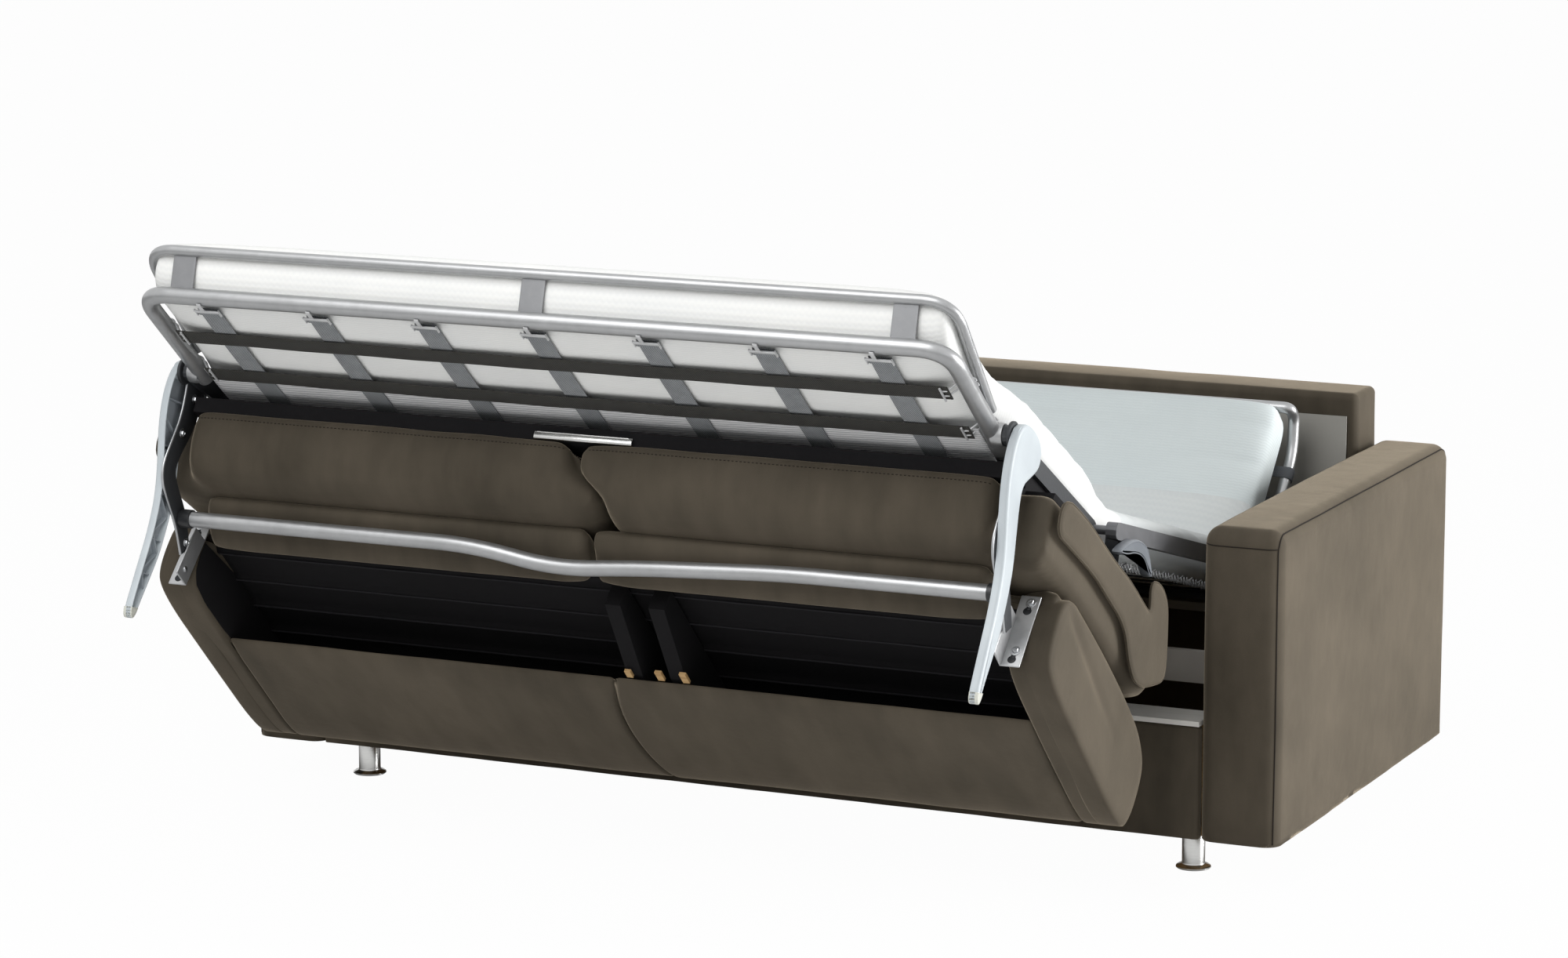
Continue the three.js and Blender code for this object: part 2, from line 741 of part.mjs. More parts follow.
function seatFrame() {
  const half = seatFrameHalfWidth;
  const railHalf = footBarInner - seatGap;
  const start = seatFrameStart;
  const end = seatFrameEnd;
  const low = -seatFrameTop - seatBoardThickness;
  const railTop = creaseGap;
  const railLow = -seatFrameTop - creaseGap;
  const tailTop = -seatTailDrop;
  const tailStart = end - seatRailWidth;
  const legSpaces = Object.values(sides).map((side) => {
    const [x0, x1] = mirrored(side, seatShoulderWidth, half + cutOver);
    return rod(0, 0, legSweep, x0, x1, 24);
  });
  return cut(join(
    box(-half, half, start, end, low, -seatFrameTop),
    box(-railHalf, railHalf, seatRailStart, seatRailStart + seatRailWidth, railLow, railTop),
    box(-railHalf, railHalf, end - seatRailWidth, end, railLow, railTop),
    box(-railHalf, -railHalf + seatRailWidth, seatRailStart, end, railLow, railTop),
    box(railHalf - seatRailWidth, railHalf, seatRailStart, end, railLow, railTop),
    box(-half, half, tailStart, end, tailTop - seatBoardThickness, low + creaseGap),
    box(-half, half, tailStart, seatTailEnd, tailTop - seatBoardThickness, tailTop),
  ), ...legSpaces);
}

// The seat's section as shares of its depth and thickness, from the board it lies on
const seatShares = [
  [0.08, 0], [0.05, -0.01], [0.034, -0.16], [0.031, -0.375], [0.056, -0.6], [0.126, -0.685],
  [0.251, -0.705], [0.465, -0.756], [0.665, -0.87], [0.85, -1], [0.95, -0.955], [0.99, -0.72],
  [0.985, -0.49], [0.965, -0.32],
];

function seatCushion(side) {
  const tail = seatFrameEnd - seatRailWidth;
  const tailLow = -seatTailDrop - seatBoardThickness - seatNotchGap;
  const notch = [[tail + seatNotchGap, tailLow], [tail - seatNotchGap, tailLow + seatBoardThickness], [tail - seatRailWidth, -seatTop]];
  const profile = [...scaled(seatShares, seatDepth, seatThickness).map(([y, z]) => [y, z - seatTop]), ...notch];
  const [x0, x1] = mirrored(side, cushionSplit, seatHalfWidth);
  const body = pad(fillet(profile, cushionDraw, 1), x0, x1, cushionDraw);
  const [n0, n1] = mirrored(side, seatShoulderWidth, seatHalfWidth + cutOver);
  const low = -seatTop - seatThickness;
  const [p0, p1] = mirrored(side, seatShoulderWidth, legPocketEnd);
  return cut(body, box(n0, n1, 0, seatShoulderDepth, low, 0), rod(0, 0, legSweep, p0, p1, 24));
}

// The seat's side panel as shares of the seat's depth
const apronShares = [
  [0.125, -0.092], [0.272, -0.087], [0.42, -0.1], [0.53, -0.111], [0.64, -0.113], [0.79, -0.135], [0.82, -0.134],
  [0.782, -0.064], [0.855, -0.047], [0.92, -0.07], [0.955, -0.128], [0.985, -0.19], [1, -0.235], [0.98, -0.262],
  [0.83, -0.325], [0.74, -0.29], [0.67, -0.22], [0.5, -0.198], [0.4, -0.185], [0.2, -0.184], [0.125, -0.184],
];

function seatApron(side) {
  const profile = scaled(apronShares, seatDepth, seatDepth).reverse();
  const [x0, x1] = mirrored(side, seatHalfWidth + seatGap, seatHalfWidth + seatGap + apronThickness);
  return plate(fillet(profile, apronThickness * 2, 2), x0, x1);
}

function seatStrip() {
  const top = -stripTop;
  return box(-stripHalfWidth, stripHalfWidth, stripStart, seatFrameStart - seatGap, top - stripHeight, top);
}

function pullHandle() {
  const y1 = stripStart - seatGap;
  const z1 = -stripTop - stripHeight / 2;
  const profile = fillet([
    [y1 - handleThickness, z1 - stripHeight / 2], [y1, z1 - stripHeight / 2], [y1, z1], [y1 - handleThickness, z1],
  ], handleThickness / 3, 2);
  return plate(profile, -handleHalfWidth, handleHalfWidth);
}

// Foot end, measured from the hub
function endHoop() {
  const x = hoopHalfWidth;
  const path = [[-x, eyeRadius, 0], [-x, -footEndLength, 0], [x, -footEndLength, 0], [x, eyeRadius, 0]];
  const eyes = Object.values(sides).map((side) => {
    const [x0, x1] = mirrored(side, x, footBarInner - 2 * seatGap);
    return rod(0, 0, eyeRadius, x0, x1);
  });
  const holes = Object.values(sides).map((side) => {
    const [x0, x1] = mirrored(side, x + hoopRadius - 2 * hubPinRadius, footBarInner + cutOver);
    return rod(0, 0, hubPinRadius + pinPlay, x0, x1);
  });
  return cut(join(tube(path, hoopRadius, tubeWall, hoopBend, 5, 10), ...eyes), ...holes);
}

function retainerRail() {
  const x = hoopHalfWidth;
  const front = -footEndLength - railLead;
  const foot = hoopRadius + railRadius + seatGap;
  const path = [[-x, -railFoot, foot], [-x, front, railLift], [x, front, railLift], [x, -railFoot, foot]];
  return tube(path, railRadius, tubeWall, railBend, 4, 8);
}

function railBracket(place) {
  const reach = Math.hypot(railLead, railLift);
  const start = hoopRadius + seatGap;
  const end = reach - railRadius - seatGap;
  const at = (distance) => [-footEndLength - (railLead * distance) / reach, (railLift * distance) / reach];
  const profile = ribbon([at(start), at(end)], [railBracketThickness, railBracketThickness]);
  return plate(profile, place - railBracketWidth / 2, place + railBracketWidth / 2);
}

const endLongStrapShares = [0.05, 0.53];
const endCrossStrapShares = [-0.858, -0.562, -0.274, 0.009, 0.295, 0.589, 0.867];

function endWebbing() {
  const reach = Math.sqrt(hoopRadius ** 2 - strapDrop ** 2) + 2 * seatGap;
  const half = hoopHalfWidth - reach;
  const top = -strapDrop + strapThickness / 2;
  const longStraps = endLongStrapShares.map((share) => {
    const y = -share * footEndLength;
    return box(-half, half, y - longStrapWidth / 2, y + longStrapWidth / 2, top - strapThickness, top);
  });
  const crossStraps = endCrossStrapShares.map((share) => {
    const x = share * hoopHalfWidth;
    return box(x - strapWidth / 2, x + strapWidth / 2, -footEndLength + reach, eyeRadius / 2, top - strapThickness, top);
  });
  return join(...longStraps, ...crossStraps);
}

function mattressEnd() {
  const low = eyeRadius + 2 * creaseGap;
  const high = footMattressHeight;
  const back = eyeRadius * 0.7;
  const frontLow = -footEndLength;
  const frontHigh = -footEndLength - endMattressLead;
  const profile = [
    [frontLow, low], [back, low], [-back / 4, high],
    ...channels([-back / 4, high], [frontHigh, high - mattressCrown], 3, channelDepth, mattressCrown),
    [frontHigh, high - mattressCrown],
  ];
  const body = pad(fillet(profile, mattressEdge / 2, 2), -endMattressHalfWidth, endMattressHalfWidth, mattressDraw);
  const strapTop = seatGap + strapThickness / 2 - strapDrop;
  const coreFront = frontLow + 2 * hoopRadius;
  const core = [[coreFront, strapTop], [0, strapTop], [0, high / 2], [coreFront, high / 2]];
  const coreHalf = endMattressHalfWidth - hoopBend;
  return join(body, pad(fillet(core, mattressEdge / 4, 1), -coreHalf, coreHalf, mattressEdge / 4, 1));
}

// Backrest, measured from the hub with the back turned flat: y along the back, z across it
function backrestShell() {
  const d = backrestDepth;
  const face = -backrestFace;
  const step = face + backrestPanelThickness + seatGap;
  const side = backrestSideStart;
  const outer = fillet([
    [side, face + boardThickness * 2], [side + boardThickness * 2, face], [backrestPanelStart - seatGap, face],
    [backrestPanelStart - seatGap, step, true], [backrestLip + seatGap * 4, step], [d - armEdge / 3, face + 3 * boardThickness],
    [d, -backrestBoardTop - armEdge], [d - armEdge, -backrestBoardTop], [side, -backrestBoardTop],
  ], handleThickness, 2);
  const board = -backrestBoardTop - backrestBoardThickness;
  return cut(
    plate(outer, -backrestHalfWidth, backrestHalfWidth),
    box(-backrestInnerWidth, backrestInnerWidth, 0, backrestLip, face - cutOver, board),
  );
}

function backrestPanel() {
  const face = -backrestFace;
  const y1 = backrestLip;
  const profile = fillet([
    [backrestPanelStart, face], [y1, face], [y1, face + backrestPanelThickness],
    [backrestPanelStart, face + backrestPanelThickness],
  ], handleThickness / 2, 2);
  return pad(profile, -backrestHalfWidth, backrestHalfWidth, handleThickness / 2, 2);
}

function backrestLining() {
  const top = -backrestBoardTop - backrestBoardThickness - seatGap;
  const y0 = backrestSideStart + seatGap;
  const y1 = backrestLip - seatGap;
  const half = backrestInnerWidth - seatGap;
  const step = (y1 - y0) / ribCount;
  const low = [];
  for (let i = 0; i < ribCount; i++) {
    low.push([y0 + i * step, top - liningThickness], [y0 + (i + 0.5) * step, top - liningThickness - ribHeight]);
  }
  return plate([...low, [y1, top - liningThickness], [y1, top], [y0, top]], -half, half);
}

function backrestStile(place) {
  const top = -backrestBoardTop - backrestBoardThickness - liningThickness - ribHeight - 2 * seatGap;
  const low = backrestPanelThickness + seatGap - backrestFace;
  const profile = [
    [backrestSideStart + stileWidth, (top + low) / 2], [backrestPanelStart, low],
    [backrestLip - seatGap, low], [backrestLip - seatGap, top], [backrestSideStart + stileWidth, top],
  ];
  return plate(profile, place - stileWidth / 2, place + stileWidth / 2);
}

// The backrest cushion's section with its rolled end, as shares of the backrest's depth and face
const backrestShares = [
  [0.178, -0.54], [0.188, -0.628], [0.224, -0.692], [0.258, -0.758], [0.281, -0.779], [0.296, -0.734],
  [0.3, -0.648], [0.302, -0.577], [0.955, -0.577], [0.985, -0.507], [0.968, -0.436], [0.91, -0.39], [0.825, -0.37],
  [0.653, -0.374], [0.472, -0.43], [0.281, -0.524], [0.22, -0.532],
];

function backrestCushion(side) {
  const profile = scaled(backrestShares, backrestDepth, backrestFace);
  const [x0, x1] = mirrored(side, cushionSplit, backrestHalfWidth);
  const body = pad(fillet(profile, mattressDraw / 2, 1), x0, x1, mattressDraw / 2);
  const [n0, n1] = mirrored(side, rollHalfWidth, backrestHalfWidth + cutOver);
  return cut(body, box(n0, n1, 0, backrestSideStart - seatGap, -backrestFace, 0));
}

function crossTube() {
  const end = swingArmPlace - seatGap;
  const slope = [0.76, -0.65];
  const at = (x, dip) => [x, tubeAlong + slope[0] * dip, -tubeAcross + slope[1] * dip];
  const path = [
    at(-end, 0), at(-end * 0.24, 0), at(-end * 0.06, tubeDip), at(end * 0.13, tubeDip), at(end * 0.34, 0), at(end, 0),
  ];
  return tube(path, tubeRadius, tubeWall, 4 * tubeRadius, 4, 10);
}

function bracket(side) {
  const [x0, x1] = mirrored(side, swingArmPlace - bracketThickness - seatGap, swingArmPlace + bracketWidth - 2 * bracketThickness);
  const y1 = backrestSideStart - seatGap;
  const front = box(x0, x1, y1 - bracketThickness, y1, -bracketBottom, -bracketTop);
  const [f0, f1] = mirrored(side, swingArmPlace - bracketThickness - seatGap, swingArmPlace - seatGap);
  const flange = box(f0, f1, y1 - bracketWidth, y1, -bracketBottom, -bracketTop - bracketWidth);
  return join(front, flange);
}

// Arm and leg, measured from the hub with the leg hanging straight down, as shares of the leg's length
const swingArmShares = [
  [0.1, 0.03], [0.09, -0.17], [0.023, -0.32], [0.005, -0.4], [0.06, -0.465], [0.16, -0.55], [0.234, -0.665],
];
const swingArmWidthShares = [0.15, 0.11, 0.08, 0.095, 0.085, 0.08, 0.06];

function swingArm(side) {
  const [x0, x1] = mirrored(side, swingArmPlace, swingArmPlace + swingArmThickness);
  const spine = scaled(swingArmShares, legLength, legLength);
  const strip = plate(fillet(ribbon(spine, swingArmWidthShares.map((share) => share * legLength)), hubPinRadius), x0, x1);
  const eye = rod(0, 0, hubPinRadius * 2.4, x0, x1, 24);
  const [h0, h1] = mirrored(side, swingArmPlace - cutOver, swingArmPlace + swingArmThickness + cutOver);
  return cut(join(strip, eye), rod(0, 0, hubPinRadius + pinPlay, h0, h1));
}

const legShares = [
  [-0.064, -0.965], [-0.043, -0.85], [-0.026, -0.76], [-0.008, -0.67], [0.002, -0.585], [0.004, -0.5], [-0.01, -0.41],
  [-0.042, -0.3], [-0.066, -0.2], [-0.07, -0.1], [-0.052, -0.02], [-0.015, 0.035], [0.035, 0.055], [0.115, 0.048],
  [0.18, 0.02], [0.21, -0.02], [0.202, -0.08], [0.13, -0.13], [0.078, -0.165], [0.07, -0.225], [0.085, -0.338],
  [0.102, -0.45], [0.1, -0.535], [0.088, -0.623], [0.072, -0.712], [0.04, -0.803], [0.006, -0.893], [-0.03, -0.995],
];

const legRibShares = [
  [-0.09, -0.16], [0.12, -0.25], [-0.09, -0.34], [0.14, -0.43], [-0.06, -0.52],
  [0.14, -0.6], [-0.06, -0.69], [0.12, -0.78], [-0.09, -0.87], [0.08, -0.96],
];

function leg(side) {
  const outline = fillet(scaled(legShares, legLength, legLength).reverse(), legWall * 2, 1);
  const [x0, x1] = mirrored(side, legPlace, legPlace + legThickness);
  const pocketDepth = mirrored(side, legPlace - cutOver, legPlace + legThickness - legWall);
  const pocket = plate(drawnIn(outline, legWall), ...pocketDepth);
  const ribDepth = mirrored(side, legPlace + 2 * legWall, legPlace + legThickness - legWall / 2);
  const zigzag = scaled(legRibShares, legLength, legLength);
  const ribs = plate(ribbon(zigzag, zigzag.map(() => legRib)), ...ribDepth);
  const boss = rod(0, 0, hubPinRadius * 1.6, ...mirrored(side, legPlace, legPlace + legThickness - legWall / 2));
  const bore = rod(0, 0, hubPinRadius + pinPlay, ...mirrored(side, legPlace - cutOver, legPlace + legThickness - legWall));
  const body = plate(outline, x0, x1);
  const inside = fromSolid(toSolid(ribs).intersect(toSolid(body)));
  return cut(join(cut(body, pocket), inside, boss), bore);
}

// Assembly: each hinge carries a group, turned about X
function turned(degrees, y, z, ...children) {
  const group = new THREE.Group();
  group.rotation.x = radians(degrees);
  group.position.set(0, y, z);
  group.add(...children);
  return group;
}

function pairOf(name, make, material) {
  return Object.entries(sides).map(([label, side]) => named(`${name}_${label}`, make(side), material()));
}

const along = (from, length, tilt) => ({
  y: from.y - length * Math.cos(radians(tilt)),
  z: from.z + length * Math.sin(radians(tilt)),
});
const headHinge = { y: headHingePlace, z: bedLevel };
const foldHinge = along(headHinge, middleLength, middleTilt);
const hub = along(foldHinge, footLength, footTilt);

function feet() {
  const places = [["front", footInset], ["rear", armDepth - footInset]];
  return places.flatMap(([row, y]) => Object.entries(sides).map(([label, side]) => {
    const mesh = named(`foot_${row}_${label}`, foot(), brightSteel());
    mesh.position.set(side * footPlaceX, y, 0);
    return mesh;
  }));
}

const base = [
  ...pairOf("arm_cover", armCover, velvet),
  ...pairOf("arm_frame", armFrame, wood),
  named("back_cover", backCover(), velvet()),
  named("back_frame", backFrame(), wood()),
  named("back_lining", backLining(), greyCloth()),
  named("front_panel", frontPanel(), velvet()),
  named("front_ledge", frontLedge(), paleBoard()),
  named("floor_board", floorBoard(), wood()),
  named("front_beam", frontBeam(), darkSteel()),
  ...pairOf("side_plate", sidePlate, darkSteel),
  ...feet(),
];

const middle = turned(-middleTilt, headHinge.y, headHinge.z,
  ...pairOf("middle_bar", middleBar, darkSteel),
  named("middle_tube_rear", middleCrossTube(-crossTubeInset), darkSteel()),
  named("middle_tube_front", middleCrossTube(-middleLength + crossTubeInset), darkSteel()),
  named("spring_mesh", springMesh(), darkSteel()),
  ...pairOf("hinge_cover", hingeCover, greyPlastic),
  named("mattress_middle", mattressMiddle(), whiteCloth()),
);

const head = turned(headTilt, headHinge.y, headHinge.z,
  named("head_hoop", headHoop(), darkSteel()),
  named("head_webbing", headWebbing(), webbing()),
  named("mattress_head", mattressHead(), whiteCloth()),
);

const footSection = turned(-footTilt, hub.y, hub.z,
  ...pairOf("foot_bar", footBar, darkSteel),
  named("mattress_foot", mattressFoot(), whiteCloth()),
  named("seat_frame", seatFrame(), blackCloth()),
  ...pairOf("seat_cushion", seatCushion, velvet),
  ...pairOf("seat_apron", seatApron, velvet),
  named("seat_strip", seatStrip(), blackCloth()),
  named("pull_handle", pullHandle(), brightSteel()),
);

const footEnd = turned(-footEndTilt, hub.y, hub.z,
  named("end_hoop", endHoop(), silverTube()),
  named("retainer_rail", retainerRail(), silverTube()),
  named("rail_bracket_left", railBracket(-railBracketPlace), silverTube()),
  named("rail_bracket_middle", railBracket(0), silverTube()),
  named("rail_bracket_right", railBracket(railBracketPlace), silverTube()),
  named("end_webbing", endWebbing(), webbing()),
  named("mattress_end", mattressEnd(), whiteCloth()),
);

const backrest = turned(-backrestTilt, hub.y, hub.z,
  named("backrest_shell", backrestShell(), velvet()),
  named("backrest_panel", backrestPanel(), velvet()),
  named("backrest_lining", backrestLining(), blackCloth()),
  named("backrest_stile_left", backrestStile(stilePlaces.left), blackCloth()),
  named("backrest_stile_right", backrestStile(stilePlaces.right), blackCloth()),
  ...pairOf("backrest_cushion", backrestCushion, velvet),
  named("cross_tube", crossTube(), silverTube()),
  ...pairOf("bracket", bracket, brightSteel),
);

const hanging = turned(-legTilt, hub.y, hub.z,
  ...pairOf("swing_arm", swingArm, darkSteel),
  ...pairOf("leg", leg, greyPlastic),
);

const sofa = new THREE.Group();
sofa.add(...base, middle, head, footSection, footEnd, backrest, hanging);

// The origin is the middle of the bounding box, on the floor
sofa.updateMatrixWorld(true);
const bounds = new THREE.Box3().setFromObject(sofa, true);
sofa.position.set(0, -(bounds.min.y + bounds.max.y) / 2, 0);

export default sofa;
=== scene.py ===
"""Sleeper sofa, half unfolded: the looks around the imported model, in metres in the frame of the model.

The bed hangs in a chain of sections. Each section has its own flat frame: x across the sofa, y along the bed and z
away from the bed, in millimetres, and a Section turns its points into the place that the model gives them.
"""

import json
import logging
import math
from dataclasses import dataclass, field
from enum import Enum
from typing import Any, Callable, Sequence

import bmesh
import bpy
import numpy as np
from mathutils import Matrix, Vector
from mathutils.bvhtree import BVHTree


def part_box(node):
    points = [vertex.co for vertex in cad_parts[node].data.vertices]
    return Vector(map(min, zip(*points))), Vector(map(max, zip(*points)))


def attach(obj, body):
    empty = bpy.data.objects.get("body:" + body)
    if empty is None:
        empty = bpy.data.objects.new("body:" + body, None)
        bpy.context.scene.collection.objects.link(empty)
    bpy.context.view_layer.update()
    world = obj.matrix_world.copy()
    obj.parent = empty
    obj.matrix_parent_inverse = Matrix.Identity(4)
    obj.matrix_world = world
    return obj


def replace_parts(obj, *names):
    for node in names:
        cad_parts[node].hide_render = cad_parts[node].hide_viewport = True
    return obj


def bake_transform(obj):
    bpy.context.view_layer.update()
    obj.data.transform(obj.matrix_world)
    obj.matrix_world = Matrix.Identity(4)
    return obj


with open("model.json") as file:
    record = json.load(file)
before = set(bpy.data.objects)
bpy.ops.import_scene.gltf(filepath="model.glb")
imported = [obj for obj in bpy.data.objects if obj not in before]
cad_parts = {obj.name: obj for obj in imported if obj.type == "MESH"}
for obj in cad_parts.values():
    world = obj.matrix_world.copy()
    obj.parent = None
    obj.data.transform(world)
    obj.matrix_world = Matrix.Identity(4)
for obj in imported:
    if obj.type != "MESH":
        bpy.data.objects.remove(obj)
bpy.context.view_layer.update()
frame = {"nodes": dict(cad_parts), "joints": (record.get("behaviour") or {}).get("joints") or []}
log = logging.getLogger("sleeper_sofa")

MM = 0.001
SMOOTH = 180.0
MERGE = 0.01
ACROSS, ALONG, AWAY = (1, 0, 0), (0, 1, 0), (0, 0, 1)
IMAGE_WIDTH = 2000
SENSOR_WIDTH = 36.0
SIDES = {"left": -1, "right": 1}
Points = np.ndarray
Row = Sequence[float]
Pairs = tuple[tuple[float, float], ...]
Material = bpy.types.Material
Piece = bpy.types.Object


class Body(Enum):
    """The rigid bodies of the model."""

    BASE = "base"
    MIDDLE = "middle_section"
    HEAD = "head_section"
    FOOT = "foot_section"
    END = "foot_end"
    BACK = "backrest"


class Slot(Enum):
    """The material slots of the record."""

    VELVET = "velvet"
    TIMBER = "timber"
    GREY_CLOTH = "grey_cloth"
    PALE_BOARD = "pale_board"
    DARK_STEEL = "dark_steel"
    CHROME = "chrome_steel"
    GREY_PLASTIC = "grey_plastic"
    QUILT = "white_quilt"
    WEBBING = "webbing"
    BLACK_BOARD = "black_board"
    BLACK_CLOTH = "black_cloth"
    SILVER = "silver_tube"


# Places


def hinge_place(joint: str) -> tuple[float, float]:
    """Gives a hinge's place in millimetres.

    Args:
        joint: The joint's name in the record.

    Returns:
        Its y and z.
    """
    found = next(j for j in frame["joints"] if j["name"] == joint)
    return found["pos_m"][1] / MM, found["pos_m"][2] / MM


@dataclass(frozen=True)
class Section:
    """A flat frame that is turned about x at a hinge."""

    y: float
    z: float
    tilt: float

    def yz(self, points: Points) -> Points:
        """Turns [y, z] points of the section by its tilt and moves them to its hinge.

        Args:
            points: Points in millimetres, with any shape that ends in 2.

        Returns:
            The same points as [y, z] of the sofa, in millimetres.
        """
        turn = math.radians(self.tilt)
        y, z = points[..., 0], points[..., 1]
        return np.stack([self.y + y * math.cos(turn) - z * math.sin(turn),
                         self.z + y * math.sin(turn) + z * math.cos(turn)], -1)

    def place(self, points: Points) -> Points:
        """Turns [x, y, z] points of the section into the sofa's frame.

        Args:
            points: Points in millimetres, with any shape that ends in 3.

        Returns:
            The same points in metres.
        """
        turned = self.yz(points[..., 1:])
        return np.concatenate([points[..., :1], turned], -1) * MM


WORLD = Section(0.0, 0.0, 0.0)
HEAD = Section(*hinge_place("head_unfold"), 48.0)
MIDDLE = Section(*hinge_place("head_unfold"), -15.0)
FOOT = Section(*hinge_place("backrest_fold"), -30.4)
END = Section(*hinge_place("backrest_fold"), -40.6)
BACK = Section(*hinge_place("backrest_fold"), -44.7)
HANGING = Section(*hinge_place("backrest_fold"), -22.3)


# Shapes


def chaikin(points: Points, rounds: int = 2, closed: bool = True) -> Points:
    """Rounds a line by cutting each corner at a quarter of its sides.

    Args:
        points: The corners, one per row.
        rounds: How many times the corners are cut.
        closed: Whether the last point joins the first.

    Returns:
        The rounded line. An open line keeps its ends.
    """
    for _ in range(rounds):
        after = np.roll(points, -1, axis=0)
        pairs = np.stack([0.75 * points + 0.25 * after, 0.25 * points + 0.75 * after], 1)
        if closed:
            points = pairs.reshape(-1, points.shape[1])
        else:
            points = np.concatenate([points[:1], pairs[:-1].reshape(-1, points.shape[1]), points[-1:]])
    return points


def respaced(points: Points, count: int, closed: bool = True) -> Points:
    """Spaces points evenly along a line.

    Args:
        points: The line's points.
        count: How many points come back.
        closed: Whether the line is a loop.

    Returns:
        The spaced points.
    """
    line = np.concatenate([points, points[:1]]) if closed else points
    steps = np.linalg.norm(np.diff(line, axis=0), axis=1)
    run = np.concatenate([[0.0], np.cumsum(steps)])
    wanted = np.linspace(0, run[-1], count, endpoint=not closed)
    return np.stack([np.interp(wanted, run, line[:, k]) for k in range(line.shape[1])], 1)


def outline(corners: Sequence[Row] | Points, rounds: int, count: int) -> Points:
    """Rounds a closed outline's corners and spaces its points evenly."""
    return respaced(chaikin(np.array(corners, float), rounds), count)


def box_corners(node: str) -> list[Points]:
    """Gives the lowest and highest corner of a CAD node's box, in millimetres."""
    return [np.array(corner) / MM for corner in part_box(node)]


def rounded_path(corners: Sequence[Row], bend: float, steps: int = 14) -> Points:
    """Rounds the inner corners of an open path with parabolas.

    Args:
        corners: The corner points.
        bend: How far from its corner each bend starts.
        steps: How many points each bend has.

    Returns:
        The path's points.
    """
    given = np.array(corners, float)
    share = np.linspace(0, 1, steps)[:, None]
    route = [given[:1]]
    for before, here, after in zip(given[:-2], given[1:-1], given[2:]):
        into, out = before - here, after - here
        reach = min(bend, np.linalg.norm(into) / 2.1, np.linalg.norm(out) / 2.1)
        start = here + into / np.linalg.norm(into) * reach
        end = here + out / np.linalg.norm(out) * reach
        route.append((1 - share) ** 2 * start + 2 * share * (1 - share) * here + share ** 2 * end)
    route.append(given[-1:])
    return np.concatenate(route)


def tube_grid(path: Points, radius: float | Points, across: Row, sides: int = 28) -> Points:
    """Carries a circle along a path that never runs along the vector across.

    Args:
        path: The path's points.
        radius: The circle's radius, or one for each point.
        across: A vector that stands off the path's plane.
        sides: How many points the circle has.

    Returns:
        A grid of rows along the path and columns round it.
    """
    tangent = np.gradient(path, axis=0)
    tangent /= np.linalg.norm(tangent, axis=1, keepdims=True)
    side = np.cross(tangent, np.array(across, float))
    side /= np.linalg.norm(side, axis=1, keepdims=True)
    other = np.cross(side, tangent)
    turn = np.linspace(0, 2 * math.pi, sides, endpoint=False)
    ring = np.cos(turn)[None, :, None] * side[:, None] + np.sin(turn)[None, :, None] * other[:, None]
    reach = np.broadcast_to(np.asarray(radius, float), (len(path),))[:, None, None]
    return path[:, None] + ring * reach


def inward(loop: Points) -> Points:
    """Gives the inward unit normals of a loop: the line from the last point to the next, turned left.

    Args:
        loop: A counter-clockwise loop of [y, z] points.

    Returns:
        One normal for each point.
    """
    along = np.roll(loop, -1, axis=0) - np.roll(loop, 1, axis=0)
    normal = np.stack([-along[:, 1], along[:, 0]], 1)
    return normal / np.maximum(np.linalg.norm(normal, axis=1, keepdims=True), 1e-9)


def ripple(points: Points, size: float, seed: int) -> Points:
    """A smooth noise between -1 and 1: a sum of sine waves in directions drawn from a fixed seed.

    Args:
        points: Points with any shape that ends in 3.
        size: The length of the main waves, in the same unit.
        seed: The seed of the directions and phases.

    Returns:
        One value for each point.
    """
    draw = np.random.default_rng(seed)
    total = np.zeros(points.shape[:-1])
    for _ in range(9):
        direction = draw.normal(size=3)
        direction /= np.linalg.norm(direction)
        length = size * draw.uniform(0.5, 1.6)
        bend = points @ draw.normal(size=3) / (2.6 * size)
        total += np.sin(points @ direction * 2 * math.pi / length + draw.uniform(0, 6.28) + np.sin(bend))
    return total / 9


